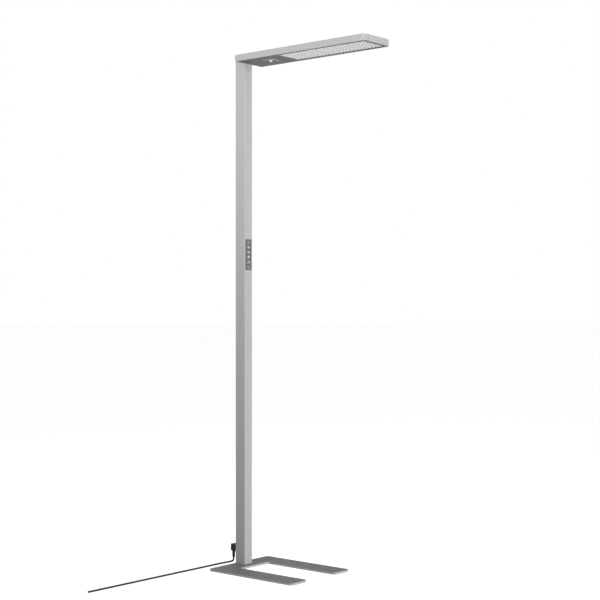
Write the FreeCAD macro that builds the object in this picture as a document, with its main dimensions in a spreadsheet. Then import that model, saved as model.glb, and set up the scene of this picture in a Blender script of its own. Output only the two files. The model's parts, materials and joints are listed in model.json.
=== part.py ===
"""Office floor lamp: a flat U-shaped base, a rectangular column and a thin cantilevered head.

Millimetres.  The origin is on the column's axis at floor level, +X runs along the head,
+Z points up, and y = 0 is the plane of symmetry of the base, the column and the head.
"""
import FreeCAD, Part
import math
import os
import re
import Sketcher
from FreeCAD import Placement, Rotation, Vector

# ---------------------------------------------------------------- driving sizes
SIZES = {
    "overall_height": 1950.0,
    "seat_gap": 0.1,
    # base plate and what it stands on
    "plate_length": 412.0,
    "plate_width": 336.0,
    "plate_thick": 8.0,
    "plate_overhang": 3.5,
    "plate_corner": 14.0,
    "plate_edge": 0.8,
    "leg_width": 87.5,
    "bar_width": 80.0,
    "slot_corner": 12.0,
    "glide_dia": 20.0,
    "glide_thick": 1.2,
    "glide_inset": 30.0,
    # column
    "column_depth": 47.5,
    "column_width": 42.0,
    "column_wall": 2.5,
    "column_edge": 1.2,
    "rib_height": 2.5,
    "rib_thick": 2.0,
    "rib_pitch": 16.0,
    "cap_thick": 2.5,
    "block_gap": 0.3,
    "foot_block_height": 45.0,
    "head_block_height": 45.0,
    "cable_bore": 12.0,
    "riser_offset": 12.0,
    # screws
    "thread_gap": 0.06,
    "hole_gap": 0.3,
    "foot_screw_dia": 6.0,
    "foot_screw_head": 12.0,
    "foot_screw_grip": 20.0,
    "foot_screw_span": 24.0,
    "joint_screw_dia": 5.0,
    "joint_screw_head": 8.5,
    "joint_screw_grip": 14.0,
    "joint_screw_span": 22.0,
    "small_screw_dia": 3.0,
    "small_screw_head": 5.6,
    "cap_head_height": 5.0,
    "arm_head_height": 2.4,
    "cap_screw_grip": 8.0,
    "cap_screw_span": 20.0,
    "cap_screw_offset": 8.0,
    "thread_spare": 1.5,
    # head shell
    "head_length": 616.0,
    "head_width": 151.0,
    "head_depth": 24.0,
    "head_wall": 2.5,
    "head_corner": 14.0,
    "end_thick": 3.0,
    "ledge_width": 6.0,
    "ledge_thick": 1.5,
    "cover_thick": 2.0,
    "cover_recess": 0.3,
    "yoke_length": 60.0,
    "yoke_thick": 4.0,
    "end_screw_inset": 16.0,
    "arm_screw_inset": 40.0,
    "arm_screw_bite": 1.6,
    # light panel and what lies above it
    "panel_start": 201.0,
    "panel_border": 17.5,
    "panel_gap": 0.3,
    "panel_lip": 3.0,
    "lip_thick": 2.0,
    "prism_pitch": 11.7,
    "prism_depth": 1.6,
    "prism_overlap": 0.5,
    "board_thick": 1.6,
    "board_inset": 6.0,
    "led_size": 3.0,
    "led_height": 0.7,
    "led_edge": 12.0,
    "reflector_wall": 0.8,
    "reflector_slope": 5.0,
    "spreader_thick": 2.0,
    "uplight_air": 3.4,
    "pane_width": 90.0,
    "cover_screw_dia": 2.5,
    "cover_screw_head": 4.7,
    "cover_screw_inset": 28.0,
    # head electrics
    "driver_length": 110.0,
    "driver_width": 30.0,
    "driver_air": 4.4,
    "driver_start": 34.0,
    "driver_inset": 9.0,
    "driver_tab": 7.0,
    "driver_tab_inset": 7.5,
    "driver_foot": 1.2,
    "terminal_length": 24.0,
    "terminal_width": 18.0,
    "terminal_height": 14.0,
    "terminal_start": 36.0,
    "terminal_pitch": 5.3,
    "terminal_well": 3.4,
    # presence and daylight sensor
    "sensor_start": 114.0,
    "collar_dia": 58.0,
    "collar_drop": 3.0,
    "collar_edge": 1.5,
    "collar_rim": 4.5,
    "dish_depth": 1.8,
    "neck_dia": 40.0,
    "neck_rise": 1.0,
    "lens_dia": 14.0,
    "lens_drop": 5.0,
    "lens_round": 4.2,
    "lens_flange": 1.4,
    "flange_width": 2.5,
    "board_socket_long": 13.0,
    "board_socket_wide": 5.0,
    # key strip
    "strip_height": 118.0,
    "strip_width": 34.0,
    "strip_centre": 1195.0,
    "strip_lip": 1.5,
    "strip_proud": 0.8,
    "strip_face": 2.2,
    "strip_corner": 2.0,
    "strip_wall": 1.0,
    "key_pitch": 19.2,
    "key_tall": 15.6,
    "key_wide": 23.4,
    "key_gap": 0.35,
    "key_proud": 0.2,
    "key_corner": 1.5,
    "key_flange": 1.0,
    "key_rim": 1.2,
    "key_stem": 4.0,
    "stem_length": 1.0,
    "key_travel": 0.6,
    "switch_air": 0.2,
    "switch_side": 6.0,
    "switch_height": 2.4,
    # mains inlet, its connector and the cord
    "inlet_centre": 66.0,
    "inlet_flange_wide": 31.0,
    "inlet_flange_tall": 28.0,
    "inlet_flange": 1.5,
    "inlet_body_wide": 25.0,
    "inlet_body_tall": 22.0,
    "inlet_body_depth": 18.0,
    "socket_wide": 20.4,
    "socket_tall": 17.0,
    "socket_depth": 14.0,
    "pin_wide": 2.0,
    "pin_tall": 4.0,
    "pin_span": 14.0,
    "pin_rise": 4.0,
    "pin_short": 3.0,
    "pin_gap": 0.3,
    "nose_gap": 0.3,
    "connector_wide": 25.0,
    "connector_tall": 27.6,
    "connector_reach": 36.0,
    "connector_corner": 5.0,
    "connector_edge": 1.5,
    "boot_reach": 29.5,
    "boot_length": 26.0,
    "boot_top_dia": 11.5,
    "boot_end_dia": 8.6,
    "groove_depth": 0.8,
    "cord_dia": 7.0,
    "supply_dia": 6.5,
    "supply_bend": 10.0,
}

# How many of each piece that repeats.
LIGHT_COLUMNS = 12
DOWNLIGHT_ROWS = 4
UPLIGHT_ROWS = 2
BOOT_GROOVES = 3

# Places that several pieces share, each worked out from the sizes above.
PLACES = {
    "base_top": "(glide_thick + plate_thick)",
    "column_front": "(column_depth / 2)",
    "column_back": "(0 - column_depth / 2)",
    "column_top": "(overall_height - cap_thick)",
    "plate_back": "(0 - column_depth / 2 - plate_overhang)",
    "plate_front": "(plate_length - column_depth / 2 - plate_overhang)",
    "block_depth": "(column_depth - 2 * column_wall - 2 * block_gap)",
    "block_width": "(column_width - 2 * column_wall - 2 * rib_height - 2 * block_gap)",
    "head_low": "(overall_height - head_depth)",
    "head_mid": "(overall_height - head_depth / 2)",
    "head_front": "(column_depth / 2 + head_length)",
    "band_back": "(column_depth / 2 + end_thick)",
    "band_half": "(head_width / 2 - head_wall)",
    "low_cover_low": "(overall_height - head_depth + cover_recess)",
    "low_cover_top": "(overall_height - head_depth + cover_recess + cover_thick)",
    "top_cover_low": "(overall_height - cover_recess - cover_thick)",
    "ledge_reach": "(cover_recess + cover_thick + seat_gap + ledge_thick)",
    "panel_back": "(column_depth / 2 + panel_start)",
    "panel_front": "(column_depth / 2 + head_length - panel_border)",
    "panel_half": "(head_width / 2 - panel_border)",
    "panel_top": "(overall_height - head_depth + cover_recess + cover_thick + seat_gap + lip_thick)",
    "pane_low": "(overall_height - cover_recess - cover_thick - seat_gap - lip_thick)",
    "up_board_low": "(overall_height - cover_recess - cover_thick - seat_gap - lip_thick"
                    " - uplight_air - led_height - board_thick)",
    "spreader_low": "(overall_height - cover_recess - cover_thick - 2 * seat_gap - lip_thick"
                    " - uplight_air - led_height - board_thick - spreader_thick)",
    "down_board_low": "(overall_height - cover_recess - cover_thick - 3 * seat_gap - lip_thick"
                      " - uplight_air - led_height - 2 * board_thick - spreader_thick)",
    "driver_low": "(head_width / 2 - head_wall - ledge_width - driver_inset - driver_width)",
    "driver_high": "(head_width / 2 - head_wall - ledge_width - driver_inset)",
    "sensor_x": "(column_depth / 2 + sensor_start)",
    "neck_top": "(overall_height - head_depth + cover_recess + cover_thick + neck_rise)",
    "strip_front": "(column_depth / 2 + strip_proud)",
    "strip_inner": "(column_depth / 2 + strip_proud - strip_face)",
    "key_back": "(column_depth / 2 + strip_proud - strip_face - seat_gap - key_flange)",
    "switch_top": "(column_depth / 2 + strip_proud - strip_face - seat_gap - key_flange"
                  " - stem_length - key_travel - switch_air)",
    "keyboard_front": "(column_depth / 2 + strip_proud - strip_face - seat_gap - key_flange"
                      " - stem_length - key_travel - switch_air - switch_height)",
    "inlet_face": "(0 - column_depth / 2 - inlet_flange)",
    "inlet_rear": "(inlet_body_depth - column_depth / 2)",
    "connector_low": "(inlet_centre - connector_tall / 2)",
    "boot_x": "(0 - column_depth / 2 - boot_reach)",
}

doc = FreeCAD.newDocument("FloorLamp")
sheet = doc.addObject("Spreadsheet::Sheet", "Sizes")
for row, (alias, number) in enumerate(SIZES.items(), start=1):
    sheet.set(f"A{row}", str(number))
    sheet.setAlias(f"A{row}", alias)
doc.recompute()

NODES = []
WORD = re.compile(r"[A-Za-z_]+")


def size(alias):
    """The number that a cell of the sheet holds."""
    return float(sheet.get(alias))


def link(text):
    """An expression in the sheet's terms: every place is spelt out, every size is a cell."""
    spelt = WORD.sub(lambda found: PLACES.get(found.group(), found.group()), str(text))
    return WORD.sub(lambda found: "Sizes." + found.group() if found.group() in SIZES
                    else found.group(), spelt)


def bind(thing, **rules):
    """Ties properties to the sheet: Base_x stands for Placement.Base.x."""
    for name, rule in rules.items():
        path = "Placement.Base." + name[-1] if name.startswith("Base_") else name
        thing.setExpression(path, link(rule))
    return thing


def node(thing, label):
    """Marks a finished sub-part and gives it the name of its file."""
    thing.Label = label
    NODES.append(thing)
    return thing


# ---------------------------------------------------------------- plain solids
def block(name, low, high):
    """A box between two corners, each given as three expressions."""
    box = doc.addObject("Part::Box", name)
    bind(box, Base_x=low[0], Base_y=low[1], Base_z=low[2])
    bind(box, Length=f"({high[0]}) - ({low[0]})", Width=f"({high[1]}) - ({low[1]})",
         Height=f"({high[2]}) - ({low[2]})")
    return box


TURNS = {
    "+Z": Rotation(),
    "-Z": Rotation(Vector(1, 0, 0), 180),
    "+X": Rotation(Vector(0, 1, 0), 90),
    "-X": Rotation(Vector(0, 1, 0), -90),
    "+Y": Rotation(Vector(1, 0, 0), -90),
    "-Y": Rotation(Vector(1, 0, 0), 90),
}


def rod(name, start, way, diameter, length):
    """A cylinder from a start point along one of the six axis directions."""
    cylinder = doc.addObject("Part::Cylinder", name)
    cylinder.Placement = Placement(Vector(), TURNS[way])
    bind(cylinder, Base_x=start[0], Base_y=start[1], Base_z=start[2],
         Radius=f"({diameter}) / 2", Height=length)
    return cylinder


def group(name, things):
    compound = doc.addObject("Part::Compound", name)
    compound.Links = things
    return compound


def without(name, base, tools):
    """The base with every tool taken away."""
    cut = doc.addObject("Part::Cut", name)
    cut.Base = base
    cut.Tool = tools[0] if len(tools) == 1 else group(name + "Tools", tools)
    return cut


def joined(name, things):
    fuse = doc.addObject("Part::MultiFuse", name)
    fuse.Shapes = things
    return fuse


def rounded(name, base, picks, radius):
    """The base with the edges that picks(edge) accepts rounded off."""
    doc.recompute()
    fillet = doc.addObject("Part::Fillet", name)
    fillet.Base = base
    r = size(radius)
    fillet.Edges = [(number, r, r) for number, edge in enumerate(base.Shape.Edges, start=1)
                    if picks(edge)]
    return fillet


def screw_copies(places, way, shank, grip, head, head_height, sunk):
    """Identical screws: each head starts at its place and the shank runs along the way.

    A sunk head is a cone that narrows into the shank, and a cap head is a cylinder.
    """
    neck = shank / 2 if sunk else head / 2
    outline = [Vector(0, 0, 0), Vector(head / 2, 0, 0), Vector(neck, 0, head_height),
               Vector(shank / 2, 0, head_height), Vector(shank / 2, 0, grip), Vector(0, 0, grip)]
    if sunk:
        del outline[3]
    profile = Part.Face(Part.makePolygon(outline + outline[:1]))
    one = profile.revolve(Vector(), Vector(0, 0, 1), 360)
    copies = []
    for place in places:
        copy = one.copy()
        copy.Placement = Placement(place, TURNS[way])
        copies.append(copy)
    return copies


def screws(label, *details):
    thing = doc.addObject("Part::Feature", label)
    thing.Shape = Part.makeCompound(screw_copies(*details))
    return node(thing, label)


# ---------------------------------------------------------------- sketched solids
def body(name):
    return doc.addObject("PartDesign::Body", name)


def sketch(owner, name, plane, offset="0", shift=None):
    """A sketch on one of the body's own planes, moved along its normal and its first axis."""
    drawing = owner.newObject("Sketcher::SketchObject", name)
    base = [feature for feature in owner.Origin.OriginFeatures if feature.Role == plane + "_Plane"]
    drawing.AttachmentSupport = [(base[0], "")]
    drawing.MapMode = "FlatFace"
    drawing.setExpression("AttachmentOffset.Base.z", link(offset))
    if shift:
        drawing.setExpression("AttachmentOffset.Base.x", link(shift))
    return drawing


def pin_point(drawing, geometry, end, across, up):
    """Holds one point of the sketch at two driven distances from the sketch's origin."""
    for kind, rule in (("DistanceX", across), ("DistanceY", up)):
        index = drawing.addConstraint(Sketcher.Constraint(kind, -1, 1, geometry, end, 1.0))
        drawing.setExpression(f"Constraints[{index}]", link(rule))


def outline(drawing, corners):
    """A closed line through the corners, each a pair of expressions."""
    first = drawing.GeometryCount
    count = len(corners)
    ring = [Vector(math.cos(math.tau * i / count), math.sin(math.tau * i / count), 0) * 10
            for i in range(count)]
    for i in range(count):
        drawing.addGeometry(Part.LineSegment(ring[i], ring[(i + 1) % count]))
    for i in range(count):
        drawing.addConstraint(
            Sketcher.Constraint("Coincident", first + i, 2, first + (i + 1) % count, 1))
    for i, (across, up) in enumerate(corners):
        pin_point(drawing, first + i, 1, across, up)


def rectangle(drawing, left, right, low, high):
    outline(drawing, [(left, low), (right, low), (right, high), (left, high)])


def circle(drawing, across, up, diameter):
    geometry = drawing.addGeometry(Part.Circle(Vector(1, 1, 0), Vector(0, 0, 1), 1))
    pin_point(drawing, geometry, 3, across, up)
    index = drawing.addConstraint(Sketcher.Constraint("Diameter", geometry, 2.0))
    drawing.setExpression(f"Constraints[{index}]", link(diameter))


def pad(owner, name, profile, length):
    feature = owner.newObject("PartDesign::Pad", name)
    feature.Profile = profile
    bind(feature, Length=length)
    return feature


def pocket(owner, name, profile, length, away=False):
    """Cuts against the sketch's normal, or along it when away is set."""
    feature = owner.newObject("PartDesign::Pocket", name)
    feature.Profile = profile
    feature.Reversed = away
    bind(feature, Length=length)
    return feature


def turned(owner, name, profile):
    """Revolves a half profile about the sketch's own upright axis."""
    feature = owner.newObject("PartDesign::Revolution", name)
    feature.Profile = profile
    feature.ReferenceAxis = (profile, ["V_Axis"])
    feature.Angle = 360
    return feature


def dressed(owner, kind, name, picks, amount):
    """A fillet or a chamfer on the edges of the body so far that picks(edge) accepts."""
    doc.recompute()
    before = owner.Tip
    names = [f"Edge{number}" for number, edge in enumerate(before.Shape.Edges, start=1)
             if picks(edge)]
    feature = owner.newObject("PartDesign::" + kind, name)
    feature.Base = (before, names)
    bind(feature, **{"Radius" if kind == "Fillet" else "Size": amount})
    return feature


def upright(edge):
    """True for a straight edge that runs along Z."""
    if edge.Curve.TypeId != "Part::GeomLine":
        return False
    ends = [vertex.Point for vertex in edge.Vertexes]
    return abs(ends[0].x - ends[1].x) < 1e-6 and abs(ends[0].y - ends[1].y) < 1e-6


def level(edge, height):
    """True for an edge that lies wholly at one height."""
    return abs(edge.BoundBox.ZMin - height) < 1e-6 and abs(edge.BoundBox.ZMax - height) < 1e-6


# ---------------------------------------------------------------- base
def base_plate():
    """A steel U-plate: two legs under the head and a bar that carries the column."""
    plate = body("BasePlate")
    shape = sketch(plate, "PlateOutline", "XY", "glide_thick")
    rectangle(shape, "plate_back", "plate_front", "0 - plate_width / 2", "plate_width / 2")
    pad(plate, "PlateBlank", shape, "plate_thick")
    slot = sketch(plate, "SlotOutline", "XY", "base_top")
    rectangle(slot, "plate_back + bar_width", "plate_front + plate_corner",
              "leg_width - plate_width / 2", "plate_width / 2 - leg_width")
    pocket(plate, "PlateSlot", slot, "plate_thick + seat_gap")
    slot_back = size("bar_width") - size("column_depth") / 2 - size("plate_overhang")
    slot_half = size("plate_width") / 2 - size("leg_width")

    def in_slot(edge):
        point = edge.Vertexes[0].Point
        return abs(point.x - slot_back) < 1e-6 and abs(abs(point.y) - slot_half) < 1e-6

    dressed(plate, "Fillet", "SlotCorners", lambda edge: upright(edge) and in_slot(edge),
            "slot_corner")
    corner_x = (-size("column_depth") / 2 - size("plate_overhang"),
                size("plate_length") - size("column_depth") / 2 - size("plate_overhang"))

    def at_end(edge):
        return min(abs(edge.Vertexes[0].Point.x - x) for x in corner_x) < 1e-6

    dressed(plate, "Fillet", "PlateCorners", lambda edge: upright(edge) and at_end(edge),
            "plate_corner")
    top = size("glide_thick") + size("plate_thick")
    dressed(plate, "Chamfer", "PlateTopEdge", lambda edge: level(edge, top), "plate_edge")
    holes = sketch(plate, "FootHoles", "XY", "base_top")
    for x in ("foot_screw_span / 2", "0 - foot_screw_span / 2"):
        for y in ("foot_screw_span / 2", "0 - foot_screw_span / 2"):
            circle(holes, x, y, "foot_screw_dia + 2 * hole_gap")
    pocket(plate, "FootHolePocket", holes, "plate_thick + seat_gap")
    low = size("glide_thick")
    dressed(plate, "Chamfer", "FootSinks",
            lambda edge: level(edge, low) and edge.Curve.TypeId == "Part::GeomCircle"
            and edge.Curve.Radius < size("foot_screw_dia"),
            "(foot_screw_head - foot_screw_dia) / 2")
    return node(plate, "base_plate")


def floor_glides():
    """Five pads under the plate: one below the column and two along each leg."""
    leg = "(plate_width / 2 - leg_width / 2)"
    spots = [("0", "0")]
    for x in ("plate_back + glide_inset", "plate_front - glide_inset"):
        spots += [(x, leg), (x, "0 - " + leg)]
    pads = [rod(f"Glide{i}", (x, y, "0"), "+Z", "glide_dia", "glide_thick")
            for i, (x, y) in enumerate(spots)]
    return node(group("FloorGlides", pads), "floor_glides")


def foot_screws():
    half = size("foot_screw_span") / 2
    head_height = (size("foot_screw_head") - size("foot_screw_dia")) / 2
    places = [Vector(x, y, size("glide_thick") + size("hole_gap"))
              for x in (half, -half) for y in (half, -half)]
    return screws("foot_screws", places, "+Z", size("foot_screw_dia"),
                  size("plate_thick") + size("foot_screw_grip"), size("foot_screw_head"),
                  head_height, True)


# ---------------------------------------------------------------- column
def foot_block():
    """The block inside the foot of the column that the base is screwed to."""
    blank = block("FootBlank", ("0 - block_depth / 2", "0 - block_width / 2", "base_top"),
                  ("block_depth / 2", "block_width / 2", "base_top + foot_block_height"))
    threads = [rod(f"FootThread{i}", (x, y, "base_top"), "+Z",
                   "foot_screw_dia + 2 * thread_gap", "foot_screw_grip + thread_spare")
               for i, (x, y) in enumerate((a, b) for a in
                                          ("foot_screw_span / 2", "0 - foot_screw_span / 2")
                                          for b in
                                          ("foot_screw_span / 2", "0 - foot_screw_span / 2"))]
    return node(without("FootBlock", blank, threads), "column_foot_block")


def column_profile():
    """An extruded tube with four guide ribs, cut for the key strip, the inlet and the head."""
    tube = body("ColumnProfile")
    shape = sketch(tube, "ColumnOutline", "XY", "base_top")
    rectangle(shape, "column_back", "column_front", "0 - column_width / 2", "column_width / 2")
    pad(tube, "ColumnBlank", shape, "column_top - base_top")
    dressed(tube, "Fillet", "ColumnEdges", upright, "column_edge")
    hollow = sketch(tube, "HollowOutline", "XY", "column_top")
    rectangle(hollow, "column_back + column_wall", "column_front - column_wall",
              "column_wall - column_width / 2", "column_width / 2 - column_wall")
    pocket(tube, "ColumnHollow", hollow, "column_top - base_top + seat_gap")
    ribs = sketch(tube, "RibOutlines", "XY", "base_top")
    for x in ("rib_pitch / 2", "0 - rib_pitch / 2"):
        for low, high in (("column_wall - column_width / 2",
                           "column_wall + rib_height - column_width / 2"),
                          ("column_width / 2 - column_wall - rib_height",
                           "column_width / 2 - column_wall")):
            rectangle(ribs, f"{x} - rib_thick / 2", f"{x} + rib_thick / 2", low, high)
    pad(tube, "GuideRibs", ribs, "column_top - base_top")
    window = sketch(tube, "StripWindow", "YZ", "column_front")
    rectangle(window, "strip_lip - strip_width / 2", "strip_width / 2 - strip_lip",
              "strip_centre - strip_height / 2 + strip_lip",
              "strip_centre + strip_height / 2 - strip_lip")
    pocket(tube, "StripOpening", window, "column_wall + seat_gap")
    inlet = sketch(tube, "InletWindow", "YZ", "column_back")
    rectangle(inlet, "0 - inlet_body_wide / 2 - hole_gap", "inlet_body_wide / 2 + hole_gap",
              "inlet_centre - inlet_body_tall / 2 - hole_gap",
              "inlet_centre + inlet_body_tall / 2 + hole_gap")
    pocket(tube, "InletOpening", inlet, "column_wall + seat_gap", away=True)
    joint = sketch(tube, "JointHoles", "YZ", "column_front")
    circle(joint, "0", "head_mid", "cable_bore")
    for y in ("joint_screw_span / 2", "0 - joint_screw_span / 2"):
        circle(joint, y, "head_mid", "joint_screw_dia + 2 * hole_gap")
    pocket(tube, "JointOpenings", joint, "column_wall + seat_gap")
    return node(tube, "column_profile")


def column_top_cap():
    """A lid that lies on the end of the tube and carries its edges up."""
    lid = body("ColumnTopCap")
    shape = sketch(lid, "CapOutline", "XY", "column_top")
    rectangle(shape, "column_back", "column_front", "0 - column_width / 2", "column_width / 2")
    pad(lid, "CapBlank", shape, "cap_thick")
    dressed(lid, "Fillet", "CapEdges", upright, "column_edge")
    holes = sketch(lid, "CapHoles", "XY", "overall_height")
    for y in ("cap_screw_span / 2", "0 - cap_screw_span / 2"):
        circle(holes, "0 - cap_screw_offset", y, "small_screw_dia + 2 * hole_gap")
    pocket(lid, "CapHolePocket", holes, "cap_thick + seat_gap")
    top = size("overall_height")
    dressed(lid, "Chamfer", "CapSinks",
            lambda edge: level(edge, top) and edge.Curve.TypeId == "Part::GeomCircle"
            and edge.Curve.Radius > size("column_edge") + size("seat_gap"),
            "(small_screw_head - small_screw_dia) / 2")
    return node(lid, "column_top_cap")


def cap_screws():
    places = [Vector(-size("cap_screw_offset"), side * size("cap_screw_span") / 2,
                     size("overall_height") - size("seat_gap")) for side in (1, -1)]
    return screws("cap_screws", places, "-Z", size("small_screw_dia"),
                  size("cap_thick") + size("cap_screw_grip"), size("small_screw_head"),
                  (size("small_screw_head") - size("small_screw_dia")) / 2, True)


def head_block():
    """The block in the top of the column: the head is screwed to it, the supply runs through it."""
    blank = block("HeadBlank",
                  ("0 - block_depth / 2", "0 - block_width / 2", "column_top - head_block_height"),
                  ("block_depth / 2", "block_width / 2", "column_top"))
    bores = [
        rod("RiserBore", ("0 - riser_offset", "0", "column_top - head_block_height"), "+Z",
            "cable_bore", "head_mid - column_top + head_block_height"),
        rod("CrossBore", ("0 - riser_offset", "0", "head_mid"), "+X", "cable_bore",
            "block_depth"),
    ]
    for i, y in enumerate(("joint_screw_span / 2", "0 - joint_screw_span / 2")):
        bores.append(rod(f"JointThread{i}", ("block_depth / 2", y, "head_mid"), "-X",
                         "joint_screw_dia + 2 * thread_gap", "joint_screw_grip + thread_spare"))
    for i, y in enumerate(("cap_screw_span / 2", "0 - cap_screw_span / 2")):
        bores.append(rod(f"CapThread{i}", ("0 - cap_screw_offset", y, "column_top"), "-Z",
                         "small_screw_dia + 2 * thread_gap", "cap_screw_grip + thread_spare"))
    return node(without("HeadBlock", blank, [joined("HeadBlockBores", bores)]),
                "column_head_block")


# ---------------------------------------------------------------- head shell
COVER_SCREW_ROW = ("column_depth / 2 + cover_screw_inset",
                   "column_depth / 2 + head_length - cover_screw_inset")
ARM_SCREW_PLACE = "band_back + arm_screw_inset"
END_SCREW_ROW = ("head_width / 2 - end_screw_inset", "end_screw_inset - head_width / 2")
JOINT_SCREW_ROW = ("joint_screw_span / 2", "0 - joint_screw_span / 2")


def head_frame():
    """The band round the head: a C-section with two inward ledges carried along a U path."""
    band = body("HeadFrame")
    path = sketch(band, "BandPath", "XY", "head_low")
    back = size("column_depth") / 2 + size("end_thick")
    front = size("column_depth") / 2 + size("head_length")
    half = size("head_width") / 2
    corner = size("head_corner")
    path.addGeometry(Part.LineSegment(Vector(back, -half, 0), Vector(front - corner, -half, 0)))
    path.addGeometry(Part.ArcOfCircle(
        Part.Circle(Vector(front - corner, corner - half, 0), Vector(0, 0, 1), corner),
        -math.pi / 2, 0))
    path.addGeometry(Part.LineSegment(Vector(front, corner - half, 0),
                                      Vector(front, half - corner, 0)))
    path.addGeometry(Part.ArcOfCircle(
        Part.Circle(Vector(front - corner, half - corner, 0), Vector(0, 0, 1), corner),
        0, math.pi / 2))
    path.addGeometry(Part.LineSegment(Vector(front - corner, half, 0), Vector(back, half, 0)))
    for first in range(4):
        path.addConstraint(Sketcher.Constraint("Tangent", first, 2, first + 1, 1))
    path.addConstraint(Sketcher.Constraint("Horizontal", 0))
    path.addConstraint(Sketcher.Constraint("Vertical", 2))
    path.addConstraint(Sketcher.Constraint("Horizontal", 4))
    path.addConstraint(Sketcher.Constraint("Equal", 1, 3))
    index = path.addConstraint(Sketcher.Constraint("Radius", 1, corner))
    path.setExpression(f"Constraints[{index}]", link("head_corner"))
    pin_point(path, 0, 1, "band_back", "0 - head_width / 2")
    pin_point(path, 4, 2, "band_back", "head_width / 2")
    index = path.addConstraint(Sketcher.Constraint("DistanceX", -1, 1, 2, 1, front))
    path.setExpression(f"Constraints[{index}]", link("head_front"))

    section = sketch(band, "BandSection", "YZ", "band_back")
    web = "head_wall - head_width / 2"
    lip = "head_wall + ledge_width - head_width / 2"
    low_shelf = "head_low + ledge_reach - ledge_thick"
    high_shelf = "overall_height - ledge_reach"
    outline(section, [
        ("0 - head_width / 2", "head_low"), (web, "head_low"), (web, low_shelf),
        (lip, low_shelf), (lip, low_shelf + " + ledge_thick"), (web, low_shelf + " + ledge_thick"),
        (web, high_shelf), (lip, high_shelf), (lip, high_shelf + " + ledge_thick"),
        (web, high_shelf + " + ledge_thick"), (web, "overall_height"),
        ("0 - head_width / 2", "overall_height"),
    ])
    pipe = band.newObject("PartDesign::AdditivePipe", "Band")
    pipe.Profile = section
    pipe.Spine = (path, [f"Edge{number}" for number in range(1, 6)])
    rows = ("head_width / 2 - head_wall - ledge_width / 2",
            "head_wall + ledge_width / 2 - head_width / 2")
    taps = sketch(band, "CoverTaps", "XY", "overall_height - ledge_reach + ledge_thick")
    for x in COVER_SCREW_ROW:
        for y in rows:
            circle(taps, x, y, "cover_screw_dia + 2 * thread_gap")
    pocket(band, "CoverTapHoles", taps, "ledge_thick + seat_gap")
    for side, offset, away in (("Near", "band_half", True), ("Far", "0 - band_half", False)):
        blind = sketch(band, side + "ArmTaps", "XZ", offset)
        circle(blind, ARM_SCREW_PLACE, "head_mid", "small_screw_dia + 2 * thread_gap")
        pocket(band, side + "ArmTapHoles", blind, "arm_screw_bite + seat_gap", away)
    return node(band, "head_frame")


def end_plate():
    """The head's back wall: it butts on the column and takes the pull of the joint screws."""
    plate = body("EndPlate")
    shape = sketch(plate, "EndOutline", "YZ", "column_front")
    rectangle(shape, "0 - head_width / 2", "head_width / 2", "head_low", "overall_height")
    pad(plate, "EndBlank", shape, "end_thick")
    holes = sketch(plate, "EndHoles", "YZ", "band_back")
    circle(holes, "0", "head_mid", "cable_bore")
    for y in JOINT_SCREW_ROW:
        circle(holes, y, "head_mid", "joint_screw_dia + 2 * hole_gap")
    for y in END_SCREW_ROW:
        circle(holes, y, "head_mid", "small_screw_dia + 2 * hole_gap")
    pocket(plate, "EndHolePocket", holes, "end_thick + seat_gap")
    outer = size("column_depth") / 2
    widest = size("small_screw_dia") / 2 + size("hole_gap") + size("seat_gap")
    dressed(plate, "Chamfer", "EndSinks",
            lambda edge: edge.Curve.TypeId == "Part::GeomCircle" and edge.Curve.Radius < widest
            and abs(edge.BoundBox.XMax - outer) < 1e-6,
            "(small_screw_head - small_screw_dia) / 2")
    return node(plate, "head_end_plate")


def yoke():
    """A U-bracket behind the end plate: its arms hold the band, its web takes the screws."""
    low = "head_low + ledge_reach + seat_gap"
    high = "overall_height - ledge_reach - seat_gap"
    outer = block("YokeOuter", ("band_back + seat_gap", "seat_gap - band_half", low),
                  ("band_back + seat_gap + yoke_length", "band_half - seat_gap", high))
    inner = block("YokeInner",
                  ("band_back + seat_gap + yoke_thick", "seat_gap + yoke_thick - band_half", low),
                  ("band_back + seat_gap + 2 * yoke_length",
                   "band_half - seat_gap - yoke_thick", high))
    holes = [rod("YokeCableHole", ("band_back", "0", "head_mid"), "+X", "cable_bore",
                 "2 * yoke_thick")]
    for i, y in enumerate(JOINT_SCREW_ROW):
        holes.append(rod(f"YokeJointHole{i}", ("band_back", y, "head_mid"), "+X",
                         "joint_screw_dia + 2 * hole_gap", "2 * yoke_thick"))
    for i, y in enumerate(END_SCREW_ROW):
        holes.append(rod(f"YokeEndTap{i}", ("band_back", y, "head_mid"), "+X",
                         "small_screw_dia + 2 * thread_gap", "2 * yoke_thick"))
    holes.append(rod("YokeArmHoles", (ARM_SCREW_PLACE, "0 - head_width / 2", "head_mid"), "+Y",
                     "small_screw_dia + 2 * hole_gap", "head_width"))
    return node(without("Yoke", outer, [joined("YokeTools", [inner] + holes)]), "head_yoke")


def joint_screws():
    """Two cap screws from inside the head through yoke, end plate and tube into the block."""
    reach = (size("yoke_thick") + size("seat_gap") + size("end_thick") + size("column_wall")
             + size("block_gap") + size("joint_screw_grip"))
    start = (size("column_depth") / 2 + size("end_thick") + size("yoke_thick")
             + 2 * size("seat_gap") + size("cap_head_height"))
    middle = size("overall_height") - size("head_depth") / 2
    places = [Vector(start, side * size("joint_screw_span") / 2, middle) for side in (1, -1)]
    return screws("joint_screws", places, "-X", size("joint_screw_dia"),
                  size("cap_head_height") + reach, size("joint_screw_head"),
                  size("cap_head_height"), False)


def end_plate_screws():
    half = size("head_width") / 2 - size("end_screw_inset")
    middle = size("overall_height") - size("head_depth") / 2
    places = [Vector(size("column_depth") / 2 + size("seat_gap"), side * half, middle)
              for side in (1, -1)]
    return screws("end_plate_screws", places, "+X", size("small_screw_dia"),
                  size("end_thick") + size("yoke_thick"), size("small_screw_head"),
                  (size("small_screw_head") - size("small_screw_dia")) / 2, True)


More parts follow.
